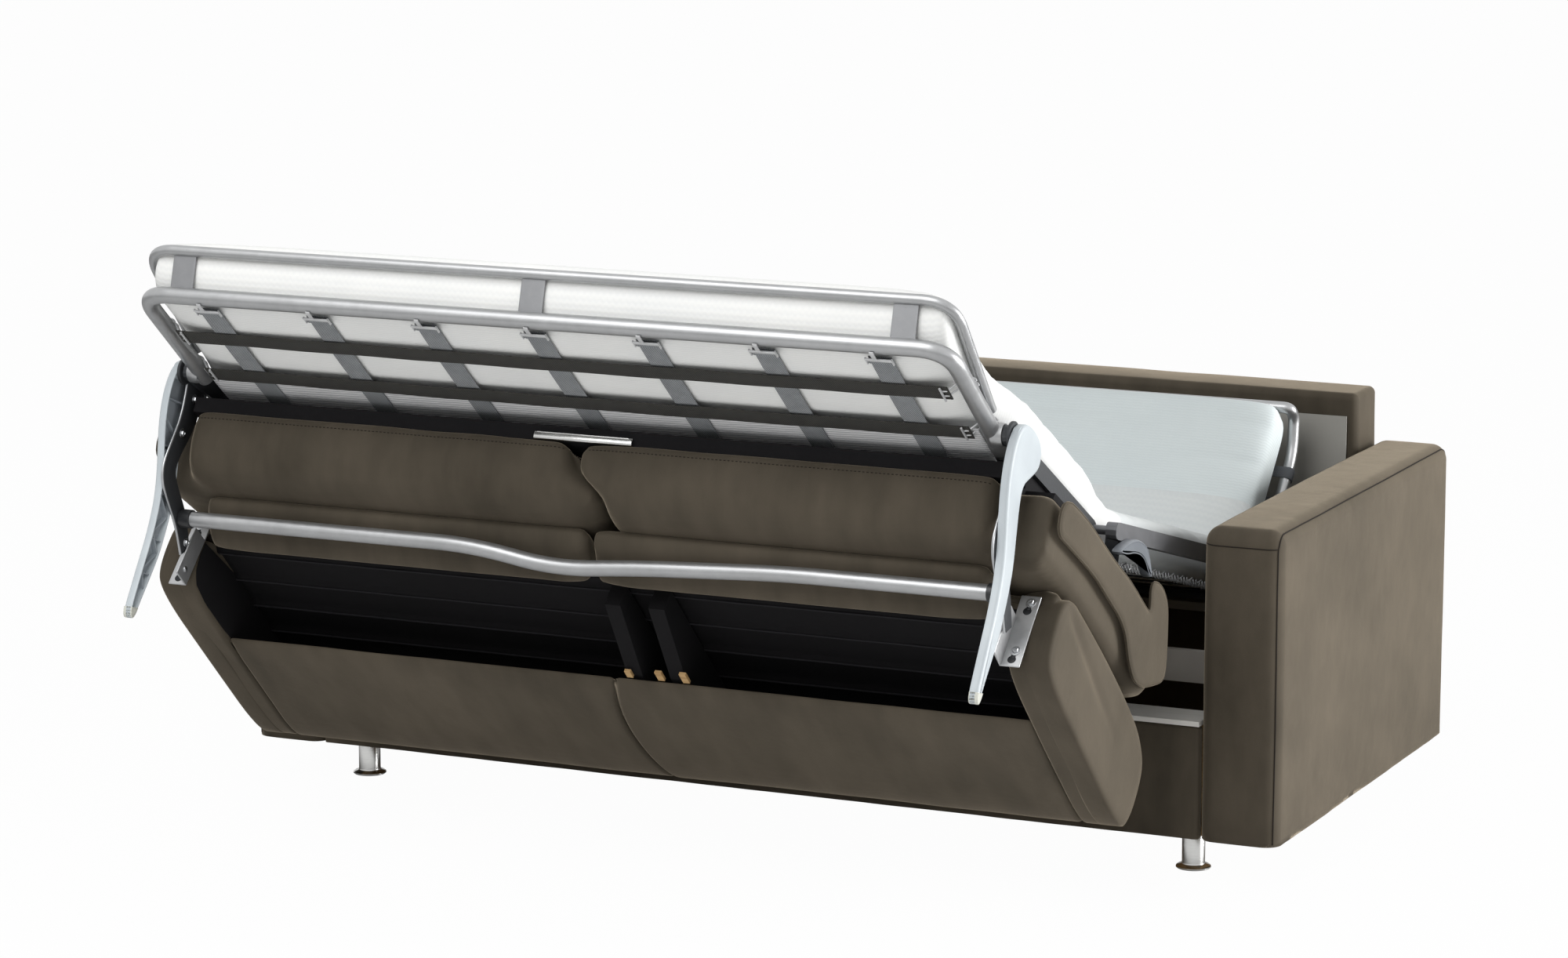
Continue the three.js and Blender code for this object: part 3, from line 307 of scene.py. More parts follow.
@dataclass
class Skin:
    """Collects grids of points into the mesh of one piece."""

    name: str
    section: Section
    points: list[Points] = field(default_factory=list)
    faces: list[list[int]] = field(default_factory=list)
    total: int = 0

    def grid(self, points: Points, close_rows: bool = False, close_columns: bool = True,
             cap_start: bool = False, cap_end: bool = False) -> "Skin":
        """Adds a grid of quads.

        Args:
            points: Rows by columns by 3, in millimetres in the section.
            close_rows: Whether the last row joins the first.
            close_columns: Whether the last column joins the first.
            cap_start: Whether the first row is filled with one face.
            cap_end: Whether the last row is filled with one face.

        Returns:
            The skin itself.
        """
        rows, columns = points.shape[:2]
        index = np.arange(rows * columns).reshape(rows, columns) + self.total
        here, below = index, np.roll(index, -1, axis=0)
        if not close_rows:
            here, below = here[:-1], below[:-1]
        right, below_right = np.roll(here, -1, axis=1), np.roll(below, -1, axis=1)
        quads = np.stack([here, right, below_right, below], -1)
        if not close_columns:
            quads = quads[:, :-1]
        self.faces.extend(quads.reshape(-1, 4).tolist())
        if cap_start:
            self.faces.append(index[0].tolist())
        if cap_end:
            self.faces.append(index[-1].tolist())
        self.points.append(points.reshape(-1, 3))
        self.total += rows * columns
        return self

    def closed(self, points: Points) -> "Skin":
        """Adds a grid whose first and last rows are filled."""
        return self.grid(points, cap_start=True, cap_end=True)

    def tube(self, path: Points, radius: float | Points, across: Row, sides: int = 28) -> "Skin":
        """Adds a round bar along a path, closed at both ends."""
        return self.closed(tube_grid(path, radius, across, sides))

    def plate(self, loop: Points, x0: float, x1: float, bevel: float = 1.0) -> "Skin":
        """Adds a plate with rounded edges: a loop carried along x, drawn in by a quarter circle at both faces.

        Args:
            loop: The plate's closed [y, z] outline.
            x0: Where it starts.
            x1: Where it ends.
            bevel: The radius of its edges.

        Returns:
            The skin itself.
        """
        turn = np.linspace(0, math.pi / 2, 4)
        side = math.copysign(1, x1 - x0)
        step, inset = bevel * (1 - np.cos(turn)) * side, bevel * (1 - np.sin(turn))
        x = np.concatenate([x0 + step, (x1 - step)[::-1]])
        return self.closed(carried(loop, x, np.concatenate([inset, inset[::-1]])))

    def shell(self, front: Points, back: Points) -> "Skin":
        """Adds two open grids of the same size and the strip that joins their edges."""
        rim = [np.concatenate([g[0], g[1:, -1], g[-1, -2::-1], g[-2:0:-1, 0]]) for g in (front, back)]
        return self.grid(front, close_columns=False).grid(back, close_columns=False).grid(np.stack(rim))

    def ring(self, path: Points, radius: float, across: Row, sides: int = 8) -> "Skin":
        """Adds a closed round cord along a loop of points."""
        wrapped = np.concatenate([path[-2:], path, path[:2]])
        return self.grid(tube_grid(wrapped, radius, across, sides)[2:-2], close_rows=True)

    def lathe(self, profile: Sequence[Row], centre: Row, axis: Row,
              sides: int = 32) -> "Skin":
        """Turns a profile about an axis: a point is the centre, plus the distance along the axis, plus the radius.

        Args:
            profile: Pairs of a radius and a distance along the axis.
            centre: Where the distance is zero.
            axis: The axis's direction.
            sides: How many points a turn has.

        Returns:
            The skin itself.
        """
        given, way = np.array(profile, float), np.array(axis, float)
        way /= np.linalg.norm(way)
        side = np.cross(way, ALONG if abs(way[0]) > 0.9 else ACROSS)
        side /= np.linalg.norm(side)
        turn = np.linspace(0, 2 * math.pi, sides, endpoint=False)[:, None]
        circle = np.cos(turn) * side + np.sin(turn) * np.cross(way, side)
        grid = np.array(centre, float) + given[:, 1, None, None] * way + given[:, 0, None, None] * circle[None]
        return self.closed(grid)

    def bolt(self, centre: Row, axis: Row, radius: float) -> "Skin":
        """Adds a hexagon bolt head on a washer, with a dished top.

        Args:
            centre: Where it sits.
            axis: The direction in which it stands up.
            radius: The radius of the head.

        Returns:
            The skin itself.
        """
        r = radius
        washer = [(r * 1.5, -0.3), (r * 1.55, 0.6), (r * 1.45, 1.2), (r * 0.9, 1.3)]
        head = [(r, 1.0), (r, r * 0.62), (r * 0.86, r * 0.8), (r * 0.55, r * 0.8), (r * 0.48, r * 0.66)]
        return self.lathe(washer, centre, axis, 28).lathe(head, centre, axis, 6)

    def block(self, low: Row, high: Row, edge: float, steps: int = 3) -> "Skin":
        """Adds a box with rounded edges and flat faces.

        Args:
            low: The lowest corner.
            high: The highest corner.
            edge: The radius of its edges.
            steps: How many rows each edge has.

        Returns:
            The skin itself.
        """
        low, high = np.array(low, float), np.array(high, float)
        return self.soft_block(low, high, edge, 0.0, max(high - low), steps)

    def soft_block(self, low: Points, high: Points, edge: float, crown: float, pitch: float,
                   steps: int) -> "Skin":
        """Adds a box with rounded edges whose faces swell towards their middles.

        A point of a cube is moved onto the rounded box: from the nearest point of an inner box, outwards by the edge's
        radius plus the crown times one minus the square of its share of the face's half length, each way.

        Args:
            low: The lowest corner.
            high: The highest corner.
            edge: The radius of its edges.
            crown: How far the middles of its faces stand out.
            pitch: The distance between the points of a face.
            steps: How many rows each edge has.

        Returns:
            The skin itself.
        """
        half, middle = (high - low) / 2, (high + low) / 2
        edge = min(edge, *(half * 0.999))
        for axis in range(3):
            a, b = [k for k in range(3) if k != axis]
            lines = []
            for k in (a, b):
                inner = np.linspace(-half[k] + edge, half[k] - edge, max(2, int(2 * half[k] / pitch) + 1))
                turn = np.linspace(0, math.pi / 4, steps + 1)[1:]
                out = half[k] - edge + edge * np.tan(turn)
                lines.append(np.concatenate([-out[::-1], inner, out]))
            for sign in (-1, 1):
                u, v = np.meshgrid(lines[0], lines[1], indexing="ij")
                cube = np.zeros((*u.shape, 3))
                cube[..., axis], cube[..., a], cube[..., b] = sign * half[axis], u, v
                core = np.clip(cube, -(half - edge), half - edge)
                normal = cube - core
                normal /= np.linalg.norm(normal, axis=-1, keepdims=True)
                swell = crown * (1 - (u / half[a]) ** 2) * (1 - (v / half[b]) ** 2)
                self.grid(core + normal * (edge + swell[..., None]) + middle, close_columns=False)
        return self

    def make(self, material: Material, body: Body | None, slot: Slot, sharp: float = 40.0) -> Piece:
        """Makes the piece's object at the origin, with closed seams and outward faces.

        Args:
            material: Its finish.
            body: The body that it rides on, or None, which leaves it on no body.
            slot: The record's material slot; it is not used.
            sharp: Edges over this angle in degrees stay sharp.

        Returns:
            The object.
        """
        mesh = bpy.data.meshes.new(self.name)
        placed = self.section.place(np.concatenate(self.points))
        mesh.from_pydata(placed.tolist(), [], self.faces)
        shape = bmesh.new()
        shape.from_mesh(mesh)
        bmesh.ops.remove_doubles(shape, verts=shape.verts, dist=MERGE * MM)
        bmesh.ops.recalc_face_normals(shape, faces=shape.faces)
        shape.to_mesh(mesh)
        shape.free()
        mesh.polygons.foreach_set("use_smooth", np.ones(len(mesh.polygons), bool))
        mesh.set_sharp_from_angle(angle=math.radians(sharp))
        return finished(mesh, self.name, material, body)


def finished(mesh: bpy.types.Mesh, name: str, material: Material, body: Body | None) -> Piece:
    """Links a mesh as a piece, gives it its finish and lets it ride.

    Args:
        mesh: The mesh.
        name: The piece's name.
        material: Its finish.
        body: The body that it rides on, or None, which leaves it on no body.

    Returns:
        The piece.
    """
    piece = bpy.data.objects.new(name, mesh)
    bpy.context.scene.collection.objects.link(piece)
    mesh.materials.clear()
    mesh.materials.append(material)
    if body is not None:
        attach(piece, body.value)
    log.info("%s: %d faces", name, len(mesh.polygons))
    return piece


# Finishes


class Wire:
    """A value in a material, whose operators add Math nodes."""

    def __init__(self, finish: "Shader", socket: bpy.types.NodeSocket) -> None:
        """Wraps a socket of that material."""
        self.finish = finish
        self.socket = socket

    def combine(self, operation: str, *values: "Wire | float") -> "Wire":
        """Adds a Math node of that operation on these values."""
        return self.finish.node("ShaderNodeMath", {"operation": operation}, dict(enumerate(values)))

    def __add__(self, other: "Wire | float") -> "Wire":
        """self + other."""
        return self.combine("ADD", self, other)

    def __radd__(self, other: float) -> "Wire":
        """other + self."""
        return self.combine("ADD", other, self)

    def __sub__(self, other: "Wire | float") -> "Wire":
        """self - other."""
        return self.combine("SUBTRACT", self, other)

    def __rsub__(self, other: float) -> "Wire":
        """other - self."""
        return self.combine("SUBTRACT", other, self)

    def __mul__(self, other: "Wire | float") -> "Wire":
        """self * other."""
        return self.combine("MULTIPLY", self, other)

    def __rmul__(self, other: float) -> "Wire":
        """other * self."""
        return self.combine("MULTIPLY", other, self)

    def __gt__(self, other: "Wire | float") -> "Wire":
        """1 where self is over other."""
        return self.combine("GREATER_THAN", self, other)

    def sine(self) -> "Wire":
        """The sine of the value."""
        return self.combine("SINE", self)

    def size(self) -> "Wire":
        """The value without its sign."""
        return self.combine("ABSOLUTE", self)


class Shader:
    """Builds one material from nodes."""

    def __init__(self, name: str) -> None:
        """Starts a material with one Principled shader."""
        self.material = bpy.data.materials.new(name)
        self.material.use_nodes = True
        self.tree = self.material.node_tree
        self.surface = next(n for n in self.tree.nodes if n.type == "BSDF_PRINCIPLED")
        self.output = next(n for n in self.tree.nodes if n.type == "OUTPUT_MATERIAL")

    def node(self, kind: str, settings: dict[str, Any], inputs: dict[Any, Any], output: Any = 0) -> Wire:
        """Adds a node.

        Args:
            kind: The node's type.
            settings: Its properties, set first. Ramp stops are given under "stops".
            inputs: A value or a wire for each input, by name or number.
            output: The output that comes back, by name or number.

        Returns:
            That output.
        """
        made = self.tree.nodes.new(kind)
        for key, value in settings.items():
            if key == "stops":
                self._stops(made.color_ramp, value)
            else:
                setattr(made, key, value)
        for key, value in inputs.items():
            if isinstance(value, Wire):
                self.tree.links.new(value.socket, made.inputs[key])
            else:
                made.inputs[key].default_value = value
        return Wire(self, made.outputs[output])

    @staticmethod
    def _stops(ramp: bpy.types.ColorRamp, stops: Sequence[tuple[float, Any]]) -> None:
        """Sets a colour ramp's stops.

        Args:
            ramp: The ramp.
            stops: A place and a grey or colour for each stop.
        """
        while len(ramp.elements) < len(stops):
            ramp.elements.new(0.5)
        for element, (place, shade) in zip(ramp.elements, stops):
            element.position = place
            element.color = (shade, shade, shade, 1) if isinstance(shade, (int, float)) else shade

    def place(self, tilt: float = 0.0, scale: Row = (1, 1, 1)) -> Wire:
        """The object's coordinates in metres, turned flat with a section and then scaled."""
        object_place = self.node("ShaderNodeTexCoord", {}, {}, "Object")
        turned = self.node("ShaderNodeVectorRotate", {"rotation_type": "X_AXIS"},
                           {"Vector": object_place, "Angle": -math.radians(tilt)})
        return self.node("ShaderNodeVectorMath", {"operation": "MULTIPLY"}, {0: turned, 1: tuple(scale)})

    def noise(self, place: Wire, scale: float, detail: float = 3.0, rough: float = 0.55) -> Wire:
        """A cloudy value between 0 and 1."""
        return self.node("ShaderNodeTexNoise", {},
                         {"Vector": place, "Scale": scale, "Detail": detail, "Roughness": rough}, "Fac")

    def ramp(self, value: Wire, stops: Sequence[tuple[float, Any]]) -> Wire:
        """A colour picked by a value."""
        return self.node("ShaderNodeValToRGB", {"stops": stops}, {"Fac": value}, "Color")

    def mix(self, share: Wire | float, first: Any, second: Any) -> Wire:
        """A colour between two colours."""
        return self.node("ShaderNodeMix", {"data_type": "RGBA"}, {0: share, 6: first, 7: second}, 2)

    def axis(self, place: Wire, name: str) -> Wire:
        """One coordinate of a place."""
        return self.node("ShaderNodeSeparateXYZ", {}, {0: place}, name)

    def set(self, **values: Any) -> "Shader":
        """Sets inputs of the Principled shader.

        Args:
            values: A value or a wire for each input, with _ for a space in its name.

        Returns:
            The shader itself.
        """
        for key, value in values.items():
            socket = self.surface.inputs[key.replace("_", " ")]
            if isinstance(value, Wire):
                self.tree.links.new(value.socket, socket)
            else:
                socket.default_value = value
        return self

    def bump(self, height: Wire, distance: float, strength: float = 1.0, under: Wire | None = None) -> Wire:
        """A normal from a height.

        Args:
            height: The height between 0 and 1.
            distance: The depth in metres of a height of 1.
            strength: How strongly it shows.
            under: A normal that it is added to.

        Returns:
            The normal.
        """
        inputs: dict[str, Any] = {"Height": height, "Distance": distance, "Strength": strength}
        if under is not None:
            inputs["Normal"] = under
        return self.node("ShaderNodeBump", {}, inputs, "Normal")


def colour(code: str) -> tuple[float, float, float, float]:
    """Turns a screen colour into the linear colour that shaders take.

    Args:
        code: The colour as six hexadecimal digits.

    Returns:
        Its red, green, blue and alpha.
    """
    parts = [int(code[i:i + 2], 16) / 255 for i in (0, 2, 4)]
    linear = [p / 12.92 if p <= 0.04045 else ((p + 0.055) / 1.055) ** 2.4 for p in parts]
    return (*linear, 1.0)


@dataclass(frozen=True)
class Velvet:
    """Short-pile taupe upholstery velvet: clouds of pile tone that are partly its own and partly painted fold shade,
    fine pile and a soft sheen.
    """

    dark: str = "453f35"
    light: str = "5e564a"
    name: str = "taupe_velvet"

    def build(self) -> Material:
        """Builds the material."""
        s = Shader(self.name)
        place = s.place()
        clouds = s.noise(place, 3.2, 4.0, 0.6)
        strokes = s.noise(s.place(0, (7, 1.6, 2.2)), 3.0, 3.0, 0.5)
        # These clouds are partly the pile's own tone and partly painted fold shade.
        nap_and_fold_shade = clouds * 0.62 + strokes * 0.38
        pile = s.noise(place, 900, 2.0, 0.7)
        base = s.ramp(nap_and_fold_shade, [(0.34, colour(self.dark)), (0.66, colour(self.light))])
        speck = s.ramp(pile, [(0.25, 0.8), (0.75, 1.0)])
        multiply = {"data_type": "RGBA", "blend_type": "MULTIPLY"}
        tinted = s.node("ShaderNodeMix", multiply, {0: 0.55, 6: base, 7: speck}, 2)
        weave = s.bump(pile, 0.0006, 0.35)
        soft = s.bump(s.noise(place, 26, 3.0, 0.5), 0.004, 0.16, weave)
        s.set(Base_Color=tinted, Roughness=nap_and_fold_shade * 0.2 + 0.68, Normal=soft, Sheen_Weight=1.0, Sheen_Roughness=0.32,
              Sheen_Tint=colour("c9bba5"), Specular_IOR_Level=0.16)
        return s.material


@dataclass(frozen=True)
class Quilt:
    """White mattress ticking with a fine knit and stitched lines."""

    name: str
    tilt: float
    # A tint whiter than this default is painted light, and a greyer one is painted shade.
    tint: str = "f4f4f2"

    def build(self) -> Material:
        """Builds the material."""
        s = Shader(self.name)
        place = s.place(self.tilt)
        y = s.axis(place, "Y")
        x = s.axis(place, "X")
        rib = (y * 1050 + (x * 520).sine() * 0.7).sine() * 0.5 + 0.5
        knit = s.noise(place, 700, 2.0, 0.6)
        cloud = s.noise(place, 5, 3.0, 0.5)
        r, g, b, _ = colour(self.tint)
        shade = s.ramp(cloud * 0.7 + rib * 0.18 + knit * 0.12,
                       [(0.25, (r * 0.9, g * 0.91, b * 0.925, 1)), (0.75, (r, g, b, 1))])
        normal = s.bump(rib * 0.6 + knit * 0.4, 0.0007, 0.5)
        s.set(Base_Color=shade, Roughness=knit * 0.15 + 0.78, Normal=normal, Sheen_Weight=0.12,
              Specular_IOR_Level=0.2)
        return s.material


@dataclass(frozen=True)
class Metal:
    """A metal or a metallic paint, with fine marks along one direction."""

    name: str
    shade: str
    metallic: float
    rough: float
    stretch: tuple[float, float, float] = (1, 1, 1)
    grain: float = 60.0
    bumps: float = 0.15

    def build(self) -> Material:
        """Builds the material."""
        s = Shader(self.name)
        place = s.place(0, self.stretch)
        marks = s.noise(place, self.grain, 4.0, 0.6)
        cloud = s.noise(s.place(), 9, 3.0, 0.5)
        r, g, b, _ = colour(self.shade)
        low = (r * 0.82, g * 0.82, b * 0.82, 1)
        base = s.ramp(marks * 0.45 + cloud * 0.55, [(0.3, low), (0.7, (r, g, b, 1))])
        s.set(Base_Color=base, Metallic=self.metallic, Roughness=marks * 0.14 + (self.rough - 0.05),
              Normal=s.bump(marks, 0.0004, self.bumps))
        return s.material


@dataclass(frozen=True)
class Moulded:
    """Moulded plastic with a faint grain."""

    name: str
    shade: str
    rough: float = 0.42

    def build(self) -> Material:
        """Builds the material."""
        s = Shader(self.name)
        place = s.place()
        grain = s.noise(place, 420, 2.0, 0.6)
        cloud = s.noise(place, 14, 2.0, 0.5)
        r, g, b, _ = colour(self.shade)
        base = s.ramp(cloud, [(0.3, (r * 0.9, g * 0.9, b * 0.91, 1)), (0.7, (r, g, b, 1))])
        s.set(Base_Color=base, Roughness=grain * 0.1 + self.rough - 0.05,
              Normal=s.bump(grain, 0.0003, 0.25))
        return s.material


@dataclass(frozen=True)
class Cloth:
    """A plain woven or bonded cloth with a thread pitch in metres."""

    name: str
    shade: str
    tilt: float
    pitch: float = 0.0014
    contrast: float = 0.3

    def build(self) -> Material:
        """Builds the material."""
        s = Shader(self.name)
        place = s.place(self.tilt)
        turn = 2 * math.pi / self.pitch
        warp = (s.axis(place, "X") * turn).sine()
        weft = (s.axis(place, "Y") * turn).sine()
        weave = warp * weft * 0.5 + 0.5
        cloud = s.noise(place, 18, 4.0, 0.6)
        r, g, b, _ = colour(self.shade)
        low = 1 - self.contrast
        base = s.ramp(weave * 0.5 + cloud * 0.5, [(0.2, (r * low, g * low, b * low, 1)), (0.8, (r, g, b, 1))])
        s.set(Base_Color=base, Roughness=cloud * 0.15 + 0.8, Normal=s.bump(weave, 0.0005, 0.5),
              Specular_IOR_Level=0.2)
        return s.material


@dataclass(frozen=True)
class Webbing:
    """Woven elastic webbing with slanting threads."""

    name: str
    tilt: float
    dark: str
    light: str

    def build(self) -> Material:
        """Builds the material."""
        s = Shader(self.name)
        place = s.place(self.tilt)
        x, y = s.axis(place, "X"), s.axis(place, "Y")
        twill = ((x + y * 0.8) * 1900).sine() * 0.5 + 0.5
        rows = (y * 2600).sine() * (x * 1500).sine() * 0.5 + 0.5
        weave = twill * 0.6 + rows * 0.4
        cloud = s.noise(place, 55, 3.0, 0.6)
        base = s.ramp(weave * 0.7 + cloud * 0.3, [(0.25, colour(self.dark)), (0.75, colour(self.light))])
        s.set(Base_Color=base, Roughness=cloud * 0.2 + 0.7, Normal=s.bump(weave, 0.0008, 0.6),
              Specular_IOR_Level=0.25)
        return s.material


@dataclass(frozen=True)
class Ticking:
    """Ribbed ticking: slanting ribs a few millimetres apart."""

    name: str
    tilt: float
    shade: str
    pitch: float = 0.0062
    slant: float = 0.22

    def build(self) -> Material:
        """Builds the material."""
        s = Shader(self.name)
        place = s.place(self.tilt)
        x, y = s.axis(place, "X"), s.axis(place, "Y")
        rib = ((y + x * self.slant) * (2 * math.pi / self.pitch)).sine() * 0.5 + 0.5
        knit = s.noise(place, 800, 2.0, 0.6)
        r, g, b, _ = colour(self.shade)
        base = s.ramp(rib * 0.8 + knit * 0.2, [(0.15, (r * 0.62, g * 0.62, b * 0.64, 1)), (0.7, (r, g, b, 1))])
        s.set(Base_Color=base, Roughness=knit * 0.1 + 0.82, Normal=s.bump(rib, 0.001, 0.6),
              Specular_IOR_Level=0.2)
        return s.material


@dataclass(frozen=True)
class Timber:
    """Raw wood or laminate with a grain along x."""

    name: str
    dark: str
    light: str
    rough: float = 0.6
    grain: float = 1.0

    def build(self) -> Material:
        """Builds the material."""
        s = Shader(self.name)
        place = s.place(0, (1.4, 16, 16))
        figure = s.noise(place, 5.5, 5.0, 0.6)
        pores = s.noise(s.place(0, (10, 240, 240)), 4.0, 2.0, 0.6)
        value = figure * 0.75 + pores * 0.25
        base = s.ramp(value, [(0.32, colour(self.dark)), (0.64, colour(self.light))])
        s.set(Base_Color=base, Roughness=value * 0.2 + self.rough - 0.1,
              Normal=s.bump(value, 0.0006, 0.3 * self.grain))
        return s.material


def made(recipe: Any) -> Any:
    """A field that starts as the material of a finish."""
    return field(default_factory=recipe.build)


@dataclass
class Finishes:
    """Every finish of the sofa, built once."""

    velvet: Material = made(Velvet())
    velvet_dark: Material = made(Velvet("3f392f", "574f43", "taupe_piping"))
    # Lighter black for the slats under the lining: painted highlight on the ridges.
    rib_highlight: Material = made(Cloth("rib_highlight_cloth", "2f2e31", BACK.tilt, 0.0022))
    # A bright metal strip laid along each steel arm's leading edge: painted highlight.
    edge: Material = made(Metal("painted_highlight_edge", "b9bbbd", 0.85, 0.3))
    seam: Material = made(Cloth("velvet_seam", "2c2722", 0, 0.001))
    # The four quilt copies differ only in tint: the end's whiter tint is painted light, and the middle's and head's
    # greyer, bluer tints are painted shade.
    quilt_end_painted_light: Material = made(Quilt("quilt_end_painted_light", END.tilt, "fcfcf9"))
    quilt_foot: Material = made(Quilt("quilt_foot", FOOT.tilt))
    quilt_middle_painted_shade: Material = made(Quilt("quilt_middle_painted_shade", MIDDLE.tilt, "e6eae9"))
    quilt_head_painted_shade: Material = made(Quilt("quilt_head_painted_shade", HEAD.tilt, "e5eded"))
    ticking: Material = made(Ticking("ribbed_ticking", END.tilt, "f6f6f6"))
    silver: Material = made(Metal("satin_silver", "b2b3b4", 0.75, 0.33))
    panel: Material = made(Moulded("grey_panel", "98938c", 0.5))
    stamped: Material = made(Metal("stamped_zinc", "b9babb", 0.7, 0.42, grain=120))
    dark: Material = made(Metal("dark_powder_coat", "3f4144", 0.45, 0.5, grain=200, bumps=0.4))
    wire: Material = made(Metal("spring_wire", "2b2c2e", 0.7, 0.4))
    chrome: Material = made(Metal("brushed_chrome", "d2d2d0", 1.0, 0.2, (1, 1, 12), 40))
    bolt: Material = made(Metal("bolt_zinc", "c4c6c8", 1.0, 0.28))
    clip: Material = made(Metal("clip_steel", "dcddde", 0.3, 0.35))
    rail_zinc: Material = made(Metal("pressed_zinc", "919294", 0.5, 0.45))
    bar_grey: Material = made(Metal("grey_bar_paint", "77787b", 0.55, 0.42))
    plastic: Material = made(Moulded("leg_plastic", "ccd4d8"))
    # A darker copy of the leg plastic for the pocket and its ribs: painted shade.
    leg_inside_painted_shade: Material = made(Moulded("leg_inside_painted_shade", "a5acb2", 0.5))
    black_plastic: Material = made(Moulded("black_plug", "222325", 0.4))
    clear: Material = made(Moulded("pale_tip", "dcddd2", 0.3))
    cover: Material = made(Moulded("hinge_plastic", "787d83", 0.38))
    black: Material = made(Cloth("black_lining_foot", "1a191b", FOOT.tilt, 0.0022))
    black_back: Material = made(Cloth("black_lining_back", "151416", BACK.tilt, 0.0022))
    grey: Material = made(Cloth("grey_lining", "aeaca6", 0, 0.0018, 0.12))
    strap: Material = made(Webbing("grey_webbing", END.tilt, "66696c", "a6a9ab"))
    strap_dark: Material = made(Webbing("dark_webbing", END.tilt, "232322", "4d4c48"))
    strap_head: Material = made(Webbing("head_webbing_weave", HEAD.tilt, "3c3e42", "6f7276"))
    wood: Material = made(Timber("raw_pine", "a9814f", "d3b07c"))
    laminate: Material = made(Timber("pale_laminate", "e6e4dd", "f3f1ec", 0.45, 0.3))


# Upholstered pieces


def laid(piece: Piece, section: Section, start: Points, way: Row, lift: float) -> Points:
    """Lays points on a piece's surface along a direction of the section.

    Args:
        piece: The piece that carries them.
        section: The section of the points.
        start: Where each ray starts, in millimetres.
        way: The rays' direction.
        lift: How far back from the surface the points stay.

    Returns:
        The points that found the surface.
    """
    tree = BVHTree.FromPolygons([v.co for v in piece.data.vertices], [p.vertices for p in piece.data.polygons])
    ahead = np.array(way, float)
    turn = (section.place(ahead) - section.place(ahead * 0)) / MM
    found = []
    for point, origin in zip(start, section.place(start)):
        hit = tree.ray_cast(Vector(origin.tolist()), Vector(turn.tolist()))
        if hit[0] is not None:
            found.append(point + ahead * (hit[3] / MM - lift))
    return np.array(found)


def stitched(name: str, section: Section, line: Points, material: Material, body: Body, across: Row,
             pitch: float = 7.5, radius: float = 0.8) -> Piece:
    """Makes a row of stitches along a line on the fabric.

    Args:
        name: The row's name.
        section: The section of the line.
        line: The line's points.
        material: The thread.
        body: The body that it rides on.
        across: A direction that the line never takes.
        pitch: The distance from stitch to stitch.
        radius: The thread's radius.

    Returns:
        The piece.
    """
    length = np.linalg.norm(np.diff(line, axis=0), axis=1).sum()
    even = respaced(line, int(length / pitch) * 4, closed=False)
    skin = Skin(name, section)
    for first in range(0, len(even) - 3, 4):
        skin.tube(even[first:first + 3], radius, across, 6)
    return skin.make(material, body, Slot.VELVET)


def swell(piece: Piece, cap: float, voxel: float = 0.011, frames: int = 20, pressure: float = 4.0) -> None:
    """Puffs a closed piece up as a filled cloth bag.

    The mesh is remeshed evenly, blown up by cloth pressure without gravity, and each point keeps at most the cap's
    distance from its start.

    Args:
        piece: The piece, whose mesh is changed.
        cap: The most that a point may move, in metres.
        voxel: The size of the even mesh, in metres.
        frames: How many frames the cloth runs.
        pressure: The pressure inside.
    """
    view = bpy.context.view_layer
    even = piece.modifiers.new("even", "REMESH")
    even.mode = "VOXEL"
    even.voxel_size = voxel
    view.objects.active = piece
    bpy.ops.object.modifier_apply(modifier=even.name)
    count = len(piece.data.vertices)
    start = np.empty(count * 3)
    piece.data.vertices.foreach_get("co", start)
    cloth = piece.modifiers.new("cloth", "CLOTH")
    cloth.settings.use_pressure = True
    cloth.settings.uniform_pressure_force = pressure
    cloth.settings.effector_weights.gravity = 0
    cloth.settings.quality = 5
    cloth.settings.tension_stiffness = 12
    cloth.settings.bending_stiffness = 1.2
    cloth.collision_settings.use_collision = False
    cloth.point_cache.frame_start = 1
    cloth.point_cache.frame_end = frames
    scene = bpy.context.scene
    for number in range(1, frames + 1):
        scene.frame_set(number)
    shaped = piece.evaluated_get(bpy.context.evaluated_depsgraph_get())
    moved = np.empty(count * 3)
    shaped.data.vertices.foreach_get("co", moved)
    piece.modifiers.remove(cloth)
    scene.frame_set(1)
    step = (moved - start).reshape(-1, 3)
    reach = np.linalg.norm(step, axis=1, keepdims=True)
    step *= np.minimum(1, cap / np.maximum(reach, 1e-9))
    piece.data.vertices.foreach_set("co", (start.reshape(-1, 3) + step).ravel())
    piece.data.update()
    smooth = piece.modifiers.new("smooth", "SMOOTH")
    smooth.factor = 0.5
    smooth.iterations = 3
    bpy.ops.object.modifier_apply(modifier=smooth.name)
    finer = piece.modifiers.new("finer", "SUBSURF")
    finer.levels = finer.render_levels = 1
    bpy.ops.object.modifier_apply(modifier=finer.name)
    piece.data.polygons.foreach_set("use_smooth", np.ones(len(piece.data.polygons), bool))


def carried(loop: Points, stations: Points, inset: Points, shear: Callable[[Points], Points] | None = None,
            scale_in: Points | None = None) -> Points:
    """Carries a [y, z] loop along x.

    Args:
        loop: A counter-clockwise loop.
        stations: The x of each copy.
        inset: How far each copy is drawn in along its normals.
        shear: How far a point of the loop is moved along x, by its [y, z].
        scale_in: The share of the shear that each copy takes.

    Returns:
        A grid with one row for each station.
    """
    normal = inward(loop)
    rows = loop[None] + normal[None] * inset[:, None, None]
    x = np.repeat(stations[:, None], len(loop), 1)
    if shear is not None:
        x = x + shear(loop)[None] * scale_in[:, None]
    return np.concatenate([x[..., None], rows], -1)


